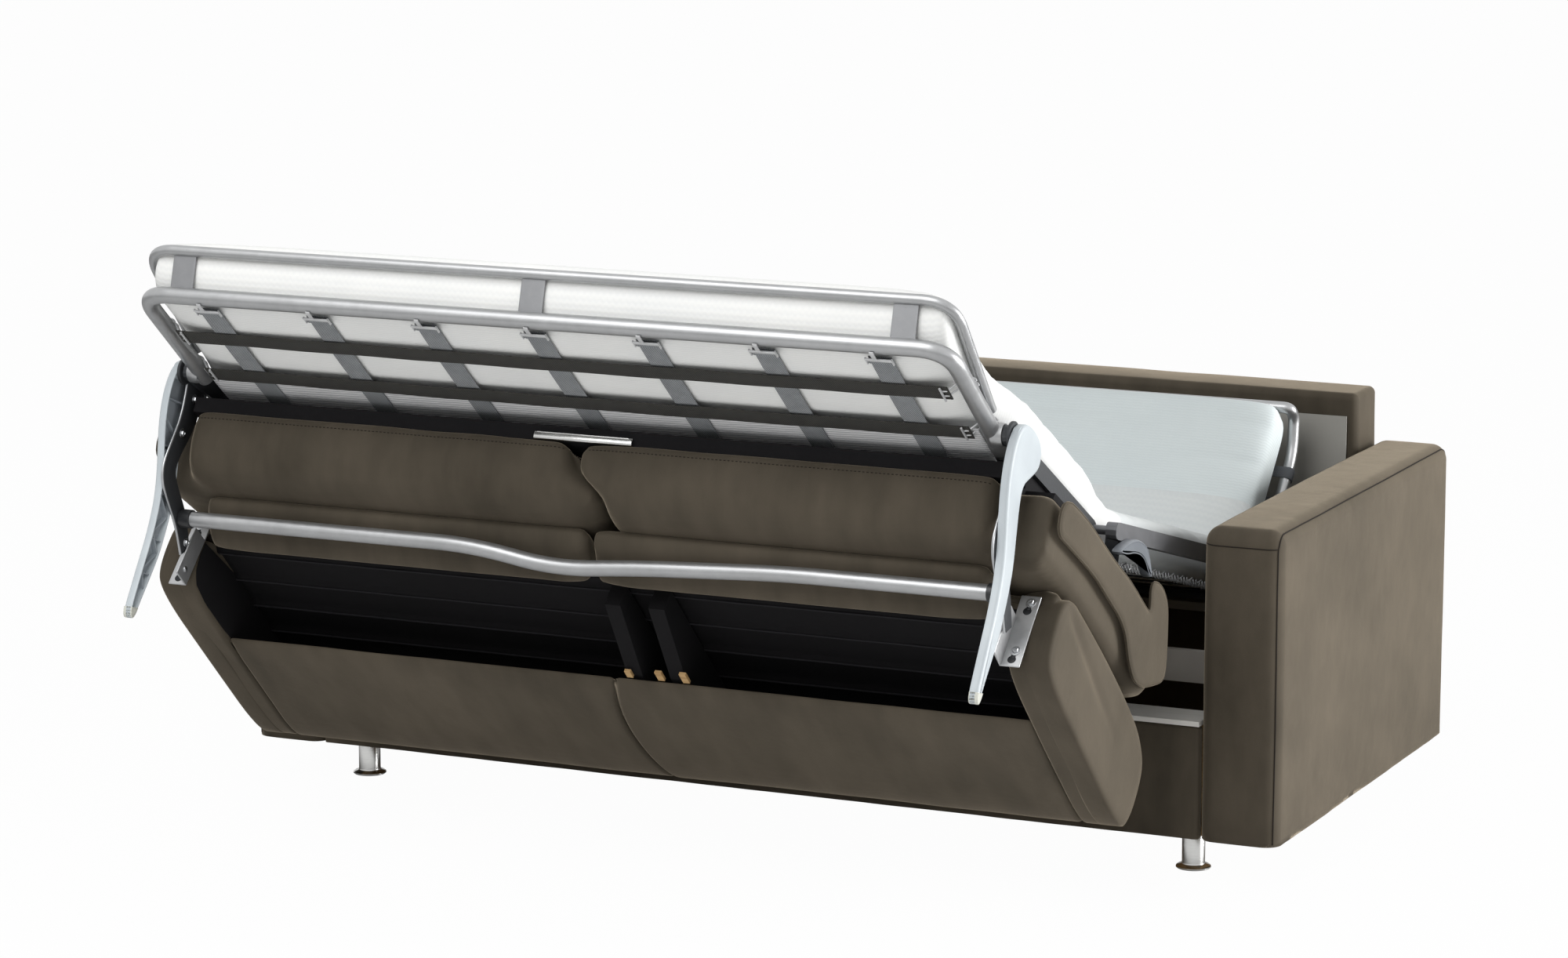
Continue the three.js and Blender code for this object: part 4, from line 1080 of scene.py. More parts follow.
def end_rounding(x0: float, x1: float, draw: float, inner: int, rounds: int = 7) -> tuple[Points, Points]:
    """Gives the stations of a padded bar and how far each is drawn in: a quarter circle at each end.

    Args:
        x0: The lower end.
        x1: The upper end.
        draw: The radius of the rounding.
        inner: How many stations lie between the roundings.
        rounds: How many stations each rounding has.

    Returns:
        The stations and the insets.
    """
    turn = np.linspace(0, math.pi / 2, rounds + 1)
    start_x, start_in = x0 + draw * (1 - np.cos(turn)), draw * (1 - np.sin(turn))
    middle = np.linspace(x0 + draw, x1 - draw, inner + 2)[1:-1]
    stations = np.concatenate([start_x, middle, (x0 + x1 - start_x)[::-1]])
    return stations, np.concatenate([start_in, np.zeros(inner), start_in[::-1]])


def denser(stations: Points, inset: Points, place: float, bend: float) -> tuple[Points, Points]:
    """Adds stations where a shoulder bends, as far along the bend as the sine of even angles.

    Args:
        stations: The stations along x.
        inset: How far each is drawn in.
        place: Where the shoulder ends.
        bend: How long its bend is.

    Returns:
        All the stations and their insets.
    """
    extra = place - bend + bend * np.sin(np.linspace(0, math.pi / 2, 10))
    both = np.unique(np.concatenate([stations, extra, [place + 4.0]]))
    return both, np.interp(both, stations, inset)


def shoulder(grid: Points, place: float, bend: float, corner: tuple[float, float], fold: float) -> None:
    """Ends the front part of a padded bar before its sides, with a rounded end.

    A point in front of the corner keeps the share sqrt(1 - s * s) of its distance from the corner, where s runs from 0
    to 1 over the bend.

    Args:
        grid: The bar's points, which are changed.
        place: Where the front part ends, along x.
        bend: How long its rounded end is.
        corner: The y that the rest starts at, and the z towards which a folding end shrinks.
        fold: The share by which the end shrinks along z too.
    """
    share = np.clip((np.abs(grid[..., 0]) - place + bend) / bend, 0, 1)
    keep = np.sqrt(1 - share ** 2)
    ahead = np.clip(corner[0] - grid[..., 1], 0, None)
    grid[..., 1] += ahead * (1 - keep)
    grid[..., 2] += (corner[1] - grid[..., 2]) * (1 - keep) * np.clip(ahead / 8, 0, 1) * fold


def velvet_bag(name: str, section: Section, grid: Points, finishes: Finishes, body: Body,
               cap: float | None = None, node: str | None = None) -> Piece:
    """Makes a padded velvet piece from a grid that its end rows close.

    Args:
        name: The piece's name.
        section: The section of the grid.
        grid: Its points.
        finishes: The sofa's finishes.
        body: The body that it rides on.
        cap: How far the cloth simulation may move it, in metres, or None where it is left out.
        node: The CAD node that it stands for.

    Returns:
        The piece.
    """
    piece = Skin(name, section).closed(grid).make(finishes.velvet, body, Slot.VELVET, SMOOTH)
    if cap is not None:
        swell(piece, cap)
    if node is not None:
        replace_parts(piece, node)
    return piece


@dataclass
class Upholstery:
    """The fixed velvet parts of the sofa: arms, back and front panel."""

    finishes: Finishes
    arm_radius: float = 30.0
    seam_inset: float = 10.0
    front_seam: float = 33.0
    panel_gap: float = 1.0

    def block_for(self, node: str, name: str, edge: float, crown: float, seed: int) -> Piece:
        """Makes a padded block over a CAD node's box, with slack waves in its cover and a flat underside.

        Args:
            node: The node that it stands for.
            name: The piece's name.
            edge: The radius of its edges.
            crown: How far its faces swell.
            seed: The seed of its waves.

        Returns:
            The piece.
        """
        low, high = box_corners(node)
        floor = low[2] - self.panel_gap
        low[2] -= edge + crown
        skin = Skin(name, WORLD)
        skin.soft_block(low + crown * 0.4, high - crown * 0.4, edge, crown, 14.0, 6)
        for grid in skin.points:
            grid[:, 2] = np.maximum(grid[:, 2], floor)
        piece = skin.make(self.finishes.velvet, Body.BASE, Slot.VELVET, SMOOTH)
        count = len(piece.data.vertices)
        co, normal = np.empty(count * 3, np.float32), np.empty(count * 3, np.float32)
        piece.data.vertices.foreach_get("co", co)
        piece.data.vertices.foreach_get("normal", normal)
        place, normal = co.reshape(-1, 3), normal.reshape(-1, 3)
        wave = 0.0011 * ripple(place, 0.34, seed) + 0.0004 * ripple(place, 0.09, seed + 1)
        piece.data.vertices.foreach_set("co", (place + normal * wave[:, None]).ravel())
        piece.data.update()
        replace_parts(piece, node)
        return piece

    def arm_seams(self, arm: Piece, label: str, side: int) -> Piece:
        """Makes the seams of one arm: round its outer side and across its front.

        Args:
            arm: The arm's cover.
            label: left or right.
            side: -1 or 1.

        Returns:
            The seams.
        """
        low, high = box_corners(f"arm_cover_{label}")
        world = WORLD
        near, far, top = low[1] + self.seam_inset, high[1] - self.seam_inset, high[2] - self.seam_inset
        beyond = side * ((high[0] if side > 0 else -low[0]) + 60)
        bottom = low[2] + 4
        corners = [[beyond, near, bottom], [beyond, near, top], [beyond, far, top], [beyond, far, bottom]]
        start = respaced(rounded_path(corners, self.arm_radius), 300, closed=False)
        skin = Skin(f"arm_seams_{label}", world)
        skin.tube(laid(arm, world, start, (-side, 0, 0), 0.2), 1.3, (side, 0.3, 0.3), 8)
        x = np.linspace(low[0] + 5, high[0] - self.seam_inset if side > 0 else high[0] - 5, 40)
        start = np.column_stack([x, np.full(40, low[1] - 60), np.full(40, high[2] - self.front_seam)])
        skin.tube(laid(arm, world, start, ALONG, 0.3), 1.0, (0, 0.3, 1), 8)
        return skin.make(self.finishes.seam, Body.BASE, Slot.VELVET)

    def build(self) -> None:
        """Builds the arms, the back and the front panel."""
        for index, (label, side) in enumerate(SIDES.items()):
            name = f"arm_upholstery_{label}"
            arm = self.block_for(f"arm_cover_{label}", name, self.arm_radius, 3.0, 11 + index)
            self.arm_seams(arm, label, side)
        self.block_for("back_cover", "back_upholstery", 14.0, 3.0, 21)
        self.block_for("front_panel", "front_upholstery", 7.0, 0.8, 31)


@dataclass
class BackCloth:
    """The grey cloth on the inside of the sofa's back."""

    finishes: Finishes

    def build(self) -> None:
        """Builds the cloth: a thin sheet with faint waves."""
        low, high = box_corners("back_lining")
        x, z = np.meshgrid(np.linspace(low[0], high[0], 120), np.linspace(low[2], high[2], 40), indexing="ij")
        beside, above = np.minimum(x - low[0], high[0] - x), np.minimum(z - low[2], high[2] - z)
        edge = np.clip(np.minimum(beside, above) / 60, 0, 1)
        front = np.stack([x, np.full_like(x, low[1] + 0.6), z], -1)
        front[..., 1] += 0.5 * edge * ripple(front, 260, 17)
        back = np.stack([x, np.full_like(x, high[1] - 0.3), z], -1)
        skin = Skin("inner_back_cloth", WORLD).shell(front, back)
        piece = skin.make(self.finishes.grey, Body.BASE, Slot.GREY_CLOTH, 60)
        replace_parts(piece, "back_lining")


@dataclass
class SeatUnit:
    """The two seat cushions with their side panels and the pull handle."""

    finishes: Finishes
    depth: float = 716.0
    thickness: float = 176.0
    top: float = 62.3
    half_width: float = 860.0
    split: float = 1.5
    draw: float = 26.0
    stitch_height: float = -76.0
    stitch_ends: tuple[float, float] = (18.0, 759.0)
    shoulder_place: float = 781.0
    shoulder_bend: float = 34.0
    shoulder_corner: tuple[float, float] = (86.5, -120.0)
    gather_length: float = 70.0
    seam_length: float = 260.0
    apron_gap: float = 2.3
    apron_rise: tuple[float, ...] = (0.3, 0.6, 3.5, 5.2, 6.6, 7.4, 7.8)
    apron_inset: tuple[float, ...] = (1.5, 0.2, 0.0, 1.2, 3.6, 7.5, 12.0)
    piping_radius: float = 2.1
    piping_rise: float = 6.4
    handle_corners: Pairs = ((27.7, -62), (35.7, -62), (35.7, -48), (27.7, -48))
    handle_lip: Pairs = ((26.6, -51), (28.4, -51), (28.4, -49), (26.6, -49))
    apron_shares: Pairs = (
        (0.125, -0.092), (0.272, -0.087), (0.42, -0.1), (0.53, -0.111), (0.64, -0.113), (0.79, -0.135),
        (0.82, -0.134), (0.782, -0.064), (0.855, -0.047), (0.92, -0.07), (0.955, -0.128), (0.985, -0.19),
        (1, -0.235), (0.98, -0.262), (0.83, -0.325), (0.74, -0.29), (0.67, -0.22), (0.5, -0.198), (0.4, -0.185),
        (0.2, -0.184), (0.125, -0.184),
    )
    shares: Pairs = (
        (0.08, 0), (0.052, 0.0), (0.038, 0.05), (0.025, 0.0), (0.021, -0.14), (0.024, -0.35), (0.05, -0.58),
        (0.115, -0.68), (0.251, -0.7), (0.465, -0.756), (0.665, -0.87), (0.85, -1), (0.95, -0.955), (0.99, -0.72),
        (0.985, -0.49), (0.965, -0.32), (0.6, -0.34), (0.572, -0.27), (0.565, 0),
    )

    def loop(self) -> Points:
        """The cushion's section as a smooth loop."""
        given = np.array(self.shares) * [self.depth, self.thickness]
        given[:, 1] -= self.top
        return outline(given, 3, 150)

    @staticmethod
    def seam(loop: Points) -> Points:
        """Where the seam between the cushions lies along x: it runs right towards the bottom of the front face."""
        drop = np.clip((-loop[:, 1] - 100) / 70, 0, 1)
        return -10 + 58 * drop * drop * (3 - 2 * drop)

    def cushion(self, label: str, side: int) -> Piece:
        """Makes one seat cushion, with its row of stitches.

        Its section is carried along x and moved along its normals: folds fade with the distance from the seam, and
        waves are largest at the front.

        Args:
            label: left or right.
            side: -1 or 1.

        Returns:
            The piece.
        """
        rounded = end_rounding(self.split, self.half_width, self.draw, 76)
        stations, inset = denser(*rounded, self.shoulder_place, self.shoulder_bend)
        loop = self.loop()
        share = np.clip(1 - stations / self.seam_length, 0, 1) ** 1.5
        grid = carried(loop, stations * side, inset, self.seam, share)
        front = np.clip((120 - loop[:, 0]) / 60, 0, 1)
        gather = np.exp(-stations / self.gather_length)[:, None] * front[None]
        normal = inward(loop)
        folds = 5 * gather * (1 + np.sin(loop[:, 1] / 9)[None] * 0.35)
        waves = 1.6 * ripple(grid, 190, 41 + side) * front[None]
        grid[..., 1:] += normal[None] * (folds + waves)[..., None]
        shoulder(grid, self.shoulder_place, self.shoulder_bend, self.shoulder_corner, 0.3)
        piece = velvet_bag(f"seat_upholstery_{label}", FOOT, grid, self.finishes, Body.FOOT, 0.007,
                           f"seat_cushion_{label}")
        x = np.linspace(*self.stitch_ends, 120) * side
        start = np.stack([x, np.full_like(x, -60.0), np.full_like(x, self.stitch_height)], 1)
        line = laid(piece, FOOT, start, ALONG, 0.2)
        stitched(f"seat_stitches_{label}", FOOT, line, self.finishes.seam, Body.FOOT, AWAY)
        return piece

    def apron(self, label: str, side: int) -> Piece:
        """Makes the padded side panel of the seat, with a piped edge.

        Args:
            label: left or right.
            side: -1 or 1.

        Returns:
            The panel.
        """
        loop = outline(np.array(self.apron_shares) * self.depth, 2, 200)[::-1]
        rise, inset = np.array(self.apron_rise), np.array(self.apron_inset)
        grid = carried(loop, (self.half_width + self.apron_gap + rise) * side, inset)
        panel = velvet_bag(f"seat_side_{label}", FOOT, grid, self.finishes, Body.FOOT,
                           node=f"seat_apron_{label}")
        edge = loop + inward(loop) * 0.6
        piping = Skin(f"seat_side_piping_{label}", FOOT)
        x = np.full(len(edge), (self.half_width + self.piping_rise) * side)
        piping.ring(np.column_stack([x, edge]), self.piping_radius, ACROSS, 10)
        piping.make(self.finishes.velvet_dark, Body.FOOT, Slot.VELVET, SMOOTH)
        return panel

    def build(self) -> None:
        """Builds the cushions, their sides and the handle."""
        for label, side in SIDES.items():
            self.cushion(label, side)
            self.apron(label, side)
        half = box_corners("pull_handle")[1][0]
        handle = Skin("pull_bar", FOOT)
        handle.plate(outline(self.handle_corners, 2, 28), -half, half, 1.2)
        handle.plate(outline(self.handle_lip, 1, 12), -half + 6, half - 6, 0.5)
        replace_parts(handle.make(self.finishes.chrome, Body.FOOT, Slot.CHROME), "pull_handle")


@dataclass
class BackrestUnit:
    """The turned backrest: its cushions, its hollow shell and its lower panel."""

    finishes: Finishes
    depth: float = 796.0
    face: float = 286.0
    inner: float = 783.0
    roll_end: float = 767.0
    crest: float = 17.0
    boxed_width: float = 851.0
    boxed_corners: Pairs = (
        (250.6, -131), (250.6, -252), (288, -286), (520, -287), (772, -286), (796, -246), (796, -184),
        (782, -138), (724, -113), (656, -107), (520, -109), (376, -119),
    )
    boxed_rise: tuple[float, ...] = (-39.0, -38.0, -34.0, 0.0, 3.4, 5.6, 7.2, 8.1)
    boxed_inset: tuple[float, ...] = (2.4, 0.4, -0.5, -0.5, 0.3, 1.8, 4.2, 7.6)
    boxed_limit: float = 9.6
    draw: float = 16.0
    shoulder_bend: float = 30.0
    shoulder_corner: tuple[float, float] = (250.6, -163.0)
    seam_shift: float = 14.0
    cheek_corners: Pairs = (
        (250, -166.5), (250, -252), (288, -286), (520, -287), (772, -286), (796, -246), (796, -190),
        (770, -166.5), (510, -166.5),
    )
    cheek_lining: Pairs = (
        (254, -180), (254, -246), (288, -278), (448, -278), (452, -266), (752, -266), (752, -180),
    )
    slat_level: float = -187.2
    slat_radius: float = 1.7
    lining_level: float = -179.8
    slat_press: float = 6.2
    board_low: tuple[float, float] = (250.6, -177.8)
    board_high: tuple[float, float] = (756.0, -166.2)
    stile_feet: tuple[tuple[float, float, float], ...] = ((27.0, 6.0, 19), (88.0, 6.5, 25), (136.0, 6.5, 27))
    slats: tuple[float, ...] = (300.0, 384.0, 468.0, 552.0, 636.0, 720.0)
    panel_corners: Pairs = (
        (441.5, -268.8), (441.5, -286), (600, -287), (768, -286), (794, -250), (796, -196), (776, -166.8),
        (757, -166.8), (757, -268.8), (600, -268.8),
    )
    shares: Pairs = (
        (0.178, -0.54), (0.188, -0.628), (0.224, -0.692), (0.258, -0.758), (0.281, -0.779), (0.296, -0.734),
        (0.3, -0.648), (0.302, -0.577), (0.955, -0.577), (0.985, -0.507), (0.968, -0.436), (0.91, -0.39),
        (0.825, -0.37), (0.653, -0.374), (0.472, -0.43), (0.281, -0.524), (0.22, -0.532),
    )

    def cushion(self, label: str, side: int) -> Piece:
        """Makes one backrest cushion with its rolled end.

        Args:
            label: left or right.
            side: -1 or 1.

        Returns:
            The piece.
        """
        loop = outline(np.array(self.shares) * [self.depth, self.face], 3, 150)
        rounded = end_rounding(1.5, self.boxed_width, self.draw, 70)
        stations, inset = denser(*rounded, self.roll_end, self.shoulder_bend)
        share = np.clip(1 - stations / 220, 0, 1) ** 1.5
        grid = carried(loop, stations * side, inset, lambda line: np.full(len(line), self.seam_shift), share)
        waves = 1.2 * ripple(grid, 170, 51 + side)
        grid[..., 1:] += inward(loop)[None] * waves[..., None]
        shoulder(grid, self.roll_end, self.shoulder_bend, self.shoulder_corner, 1.0)
        beside = np.clip((np.abs(grid[..., 0]) - self.roll_end - 13) / 30, 0, 1)
        front = np.clip((grid[..., 2] + 160) / 18, 0, 1)
        grid[..., 2] += self.crest * beside * front * np.exp(-((grid[..., 1] - 258) / 85) ** 2)
        return velvet_bag(f"backrest_upholstery_{label}", BACK, grid, self.finishes, Body.BACK, 0.006,
                          f"backrest_cushion_{label}")

    def cheek(self, label: str, side: int) -> Piece:
        """Makes one padded side of the hollow back, with its black lining inside.

        Args:
            label: left or right.
            side: -1 or 1.

        Returns:
            The padded side.
        """
        loop = outline(self.cheek_corners, 3, 150)
        stations, inset = end_rounding(self.inner + 0.5, self.boxed_width, 8.0, 10)
        grid = carried(loop, stations * side, inset)
        grid[..., 1:] += inward(loop)[None] * (1.5 * ripple(grid, 210, 71 + side))[..., None]
        piece = velvet_bag(f"backrest_side_{label}", BACK, grid, self.finishes, Body.BACK)
        lining = Skin(f"backrest_side_lining_{label}", BACK)
        lining.plate(outline(self.cheek_lining, 1, 80), self.inner * side, (self.inner - 0.9) * side, 0.3)
        lining.make(self.finishes.black_back, Body.BACK, Slot.BLACK_CLOTH)
        return piece

    def boxing(self, label: str, side: int) -> Piece:
        """Makes the padded panel that closes one end of the backrest, over its cushion and its hollow side.

        The panel's face is made of copies of its outline that shrink towards its middle, so that it can swell and
        crease. The crease is a bell curve across a slanting line.

        Args:
            label: left or right.
            side: -1 or 1.

        Returns:
            The panel.
        """
        loop = outline(self.boxed_corners, 3, 190)
        rise, inset = np.array(self.boxed_rise), np.array(self.boxed_inset)
        grid = carried(loop, (self.boxed_width + rise) * side, inset)
        share = np.linspace(0.93, 0.06, 22)
        centre = loop.mean(0)
        face = centre + (grid[-1, :, 1:] - centre)[None] * share[:, None, None]
        crease = np.exp(-((face[..., 1] + 150 + 0.10 * (face[..., 0] - 250)) / 13) ** 2)
        crease *= np.clip((face[..., 0] - 262) / 60, 0, 1) * np.clip((640 - face[..., 0]) / 160, 0, 1)
        flat = np.concatenate([np.zeros(face.shape[:2] + (1,)), face], -1)
        swollen = 8.4 + 0.6 * np.clip((1 - share) * 5, 0, 1)[:, None]
        lift = np.minimum(swollen + 0.55 * ripple(flat, 120, 75 + side) - 3.0 * crease, self.boxed_limit)
        face = np.concatenate([((self.boxed_width + lift) * side)[..., None], face], -1)
        grid = np.concatenate([grid, face])
        return velvet_bag(f"backrest_boxing_{label}", BACK, grid, self.finishes, Body.BACK)

    def lower_panel(self, label: str, side: int) -> Piece:
        """Makes one half of the lower front panel. The seam between the halves swings left in the middle.

        Args:
            label: left or right.
            side: -1 or 1.

        Returns:
            The half.
        """
        loop = outline(self.panel_corners, 3, 170)
        stations, inset = end_rounding(1.2, self.inner + 0.2, 9.0, 60)
        share = np.clip(1 - stations / 230, 0, 1) ** 1.5

        def swing(line: Points) -> Points:
            """The seam's place along x."""
            return -30 * np.sin(math.pi * np.clip((line[:, 0] - 441) / 330, 0, 1)) - 2

        grid = carried(loop, stations * side, inset, swing, share)
        grid[..., 1:] += inward(loop)[None] * (1.3 * ripple(grid, 240, 81 + side))[..., None]
        return velvet_bag(f"lower_panel_{label}", BACK, grid, self.finishes, Body.BACK)

    def board(self) -> Piece:
        """Makes the velvet-covered board between the cushions and the lining."""
        skin = Skin("backrest_board", BACK)
        skin.block((-self.inner - 0.8, *self.board_low), (self.inner + 0.8, *self.board_high), 2.5)
        return skin.make(self.finishes.velvet, Body.BACK, Slot.VELVET)

    def lining_bars(self) -> Piece:
        """Makes the slats that press through the black lining, in a lighter black cloth whose lightness is a painted
        highlight along the ridges.
        """
        skin = Skin("lining_slats", BACK)
        for y in self.slats:
            x = np.linspace(-self.inner + 4, self.inner - 4, 40)
            path = np.stack([x, np.full(40, y), np.full(40, self.slat_level)], 1)
            path[:, 2] += 0.5 * np.sin(np.linspace(0, 9 * math.pi, 40)) ** 2
            skin.tube(path, self.slat_radius, AWAY, 8)
        return skin.make(self.finishes.rib_highlight, Body.BACK, Slot.BLACK_CLOTH)

    def lining(self) -> Piece:
        """Makes the black cloth under the board, drawn over the slats: each slat is a bell curve along y."""
        places = np.linspace(-self.inner + 0.4, self.inner - 0.4, 110)
        x, y = np.meshgrid(places, np.linspace(250.6, 754.6, 150), indexing="ij")
        slats = np.exp(-((y[..., None] - np.array(self.slats)) / 7) ** 2).sum(-1)
        low = np.stack([x, y, self.lining_level - self.slat_press * slats], -1)
        low[..., 2] += 0.9 * ripple(low, 120, 33)
        high = low + [0, 0, 1.0]
        skin = Skin("backrest_black_lining", BACK)
        piece = skin.shell(low, high).make(self.finishes.black_back, Body.BACK, Slot.BLACK_CLOTH, SMOOTH)
        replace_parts(piece, "backrest_lining")
        return piece

    def stile_ends(self) -> Piece:
        """Makes the bare wood blocks at the feet of the stiles."""
        skin = Skin("stile_blocks", BACK)
        for place, width, rise in self.stile_feet:
            skin.block((place - width, 441 - rise, -274), (place + width, 441.2, -268), 0.5)
        return skin.make(self.finishes.wood, Body.BACK, Slot.TIMBER)

    def build(self) -> None:
        """Builds the cushions and the hollow shell."""
        for label, side in SIDES.items():
            self.cushion(label, side)
        sides = [self.cheek(label, side) for label, side in SIDES.items()]
        halves = [self.lower_panel(label, side) for label, side in SIDES.items()]
        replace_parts(sides[0], "backrest_shell")
        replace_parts(halves[0], "backrest_panel")
        for label, side in SIDES.items():
            self.boxing(label, side)
        self.board()
        self.lining()
        self.lining_bars()
        self.stile_ends()


# Bed frame


def add_band(skin: Skin, spine: Points, width: float, across: Row, thick: float = 2.2) -> None:
    """Adds a flat band along a spine: a rounded oblong, carried square to the spine.

    Args:
        skin: Where it goes.
        spine: The middle line.
        width: The band's width.
        across: The direction of its width.
        thick: Its thickness.
    """
    tangent = np.gradient(spine, axis=0)
    tangent /= np.linalg.norm(tangent, axis=1, keepdims=True)
    side = np.array(across, float)
    normal = np.cross(tangent, side)
    outline = np.array([[-0.5, -0.35], [-0.47, -0.5], [-0.2, -0.5], [0.2, -0.5], [0.47, -0.5], [0.5, -0.35],
                        [0.5, 0.35], [0.47, 0.5], [0.2, 0.5], [-0.2, 0.5], [-0.47, 0.5], [-0.5, 0.35]])
    grid = (spine[:, None] + side[None, None] * (outline[None, :, :1] * width)
            + normal[:, None] * (outline[None, :, 1:] * thick))
    skin.closed(grid)


@dataclass
class BedTubes:
    """The bent tubes of the bed frame."""

    finishes: Finishes
    hoop_half: float = 757.0
    hoop_length: float = 258.0
    hoop_radius: float = 15.0
    hoop_bend: float = 60.0
    hoop_eye: tuple[float, ...] = (19.0, 20.0, 20.0, 19.0)
    eye_length: float = 20.4
    head_eye: tuple[float, ...] = (17.0, 18.0, 18.0, 17.0)
    rail_lead: float = 33.0
    rail_lift: float = 71.0
    rail_radius: float = 9.5
    rail_foot: float = 36.0
    head_half: float = 790.0
    head_length: float = 350.0
    head_radius: float = 11.0
    head_drop: float = 64.1
    cross_end: float = 787.7
    cross_along: float = 161.5
    cross_across: float = 206.5
    cross_dip: float = 28.0
    cross_radius: float = 14.0
    cross_shares: Pairs = ((-1, 0), (-0.26, 0), (-0.05, 1), (0.15, 0.5), (0.5, 0), (1, 0))

    def end_hoop(self) -> Piece:
        """Makes the tube round the foot end, with its flattened eyes."""
        x, radius = self.hoop_half, self.hoop_radius
        corners = [[-x, 20, 0], [-x, -self.hoop_length, 0], [x, -self.hoop_length, 0], [x, 20, 0]]
        skin = Skin("foot_end_hoop", END)
        skin.tube(rounded_path(corners, self.hoop_bend, 22), radius, AWAY)
        for side in SIDES.values():
            path = np.linspace([side * x, 0, 0], [side * (x + self.eye_length), 0, 0], 4)
            skin.tube(path, np.array(self.hoop_eye), AWAY, 36)
        piece = skin.make(self.finishes.silver, Body.END, Slot.SILVER)
        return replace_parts(piece, "end_hoop")

    def rail(self) -> Piece:
        """Makes the thinner rail that keeps the mattress in place."""
        x, foot = self.hoop_half, self.hoop_radius + self.rail_radius
        front = -self.hoop_length - self.rail_lead
        corners = [[-x, -self.rail_foot, foot], [-x, front, self.rail_lift], [x, front, self.rail_lift],
                   [x, -self.rail_foot, foot]]
        skin = Skin("mattress_rail", END)
        skin.tube(rounded_path(corners, 58, 22), self.rail_radius, AWAY, 22)
        piece = skin.make(self.finishes.silver, Body.END, Slot.SILVER)
        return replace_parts(piece, "retainer_rail")

    def head_hoop(self) -> Piece:
        """Makes the tube round the head section."""
        x, end, drop = self.head_half, self.head_length, -self.head_drop
        corners = [[-x, -8, 0], [-x, 30, drop / 3], [-x, 120, drop], [-x, end - 60, drop], [-x, end, drop / 3],
                   [-x, end, 11], [x, end, 11], [x, end, drop / 3], [x, end - 60, drop], [x, 120, drop],
                   [x, 30, drop / 3], [x, -8, 0]]
        skin = Skin("head_tube", HEAD)
        skin.tube(rounded_path(corners, 34, 10), self.head_radius, (0.3, 0.35, 1), 22)
        for side in SIDES.values():
            path = np.linspace([side * (x - 11), 0, 0], [side * (x + 11), 0, 0], 4)
            skin.tube(path, np.array(self.head_eye), AWAY, 32)
        piece = skin.make(self.finishes.silver, Body.HEAD, Slot.DARK_STEEL)
        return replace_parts(piece, "head_hoop")

    def cross_tube(self) -> Piece:
        """Makes the tube under the backrest's edge, with its dip in the middle."""
        x, dip = np.array(self.cross_shares).T * [[self.cross_end], [self.cross_dip]]
        corners = np.column_stack([x, self.cross_along + 0.76 * dip, -self.cross_across - 0.65 * dip])
        skin = Skin("backrest_cross_tube", BACK)
        skin.tube(rounded_path(corners, 70, 16), self.cross_radius, (0, 0.65, 0.76))
        piece = skin.make(self.finishes.silver, Body.BACK, Slot.SILVER)
        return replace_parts(piece, "cross_tube")

    def build(self) -> None:
        """Builds all the tubes."""
        self.end_hoop()
        self.rail()
        self.head_hoop()
        self.cross_tube()


def blended(piece: Piece, first: Body, second: Body, section: Section, start: float, end: float) -> Piece:
    """Bakes a piece's place into its mesh. It works out where the bend starts and ends, but it does not bend the
    piece, which rides on no body.

    Args:
        piece: The piece.
        first: The body that it follows before the bend; it is not used.
        second: The body that it follows after the bend; it is not used.
        section: The section in which the bend is measured.
        start: The y at which the bend starts.
        end: The y at which it ends.

    Returns:
        The piece.
    """
    ends = [Vector(section.place(np.array([0, y, 0.0])).tolist()) for y in (start, end)]
    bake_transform(piece)
    return piece


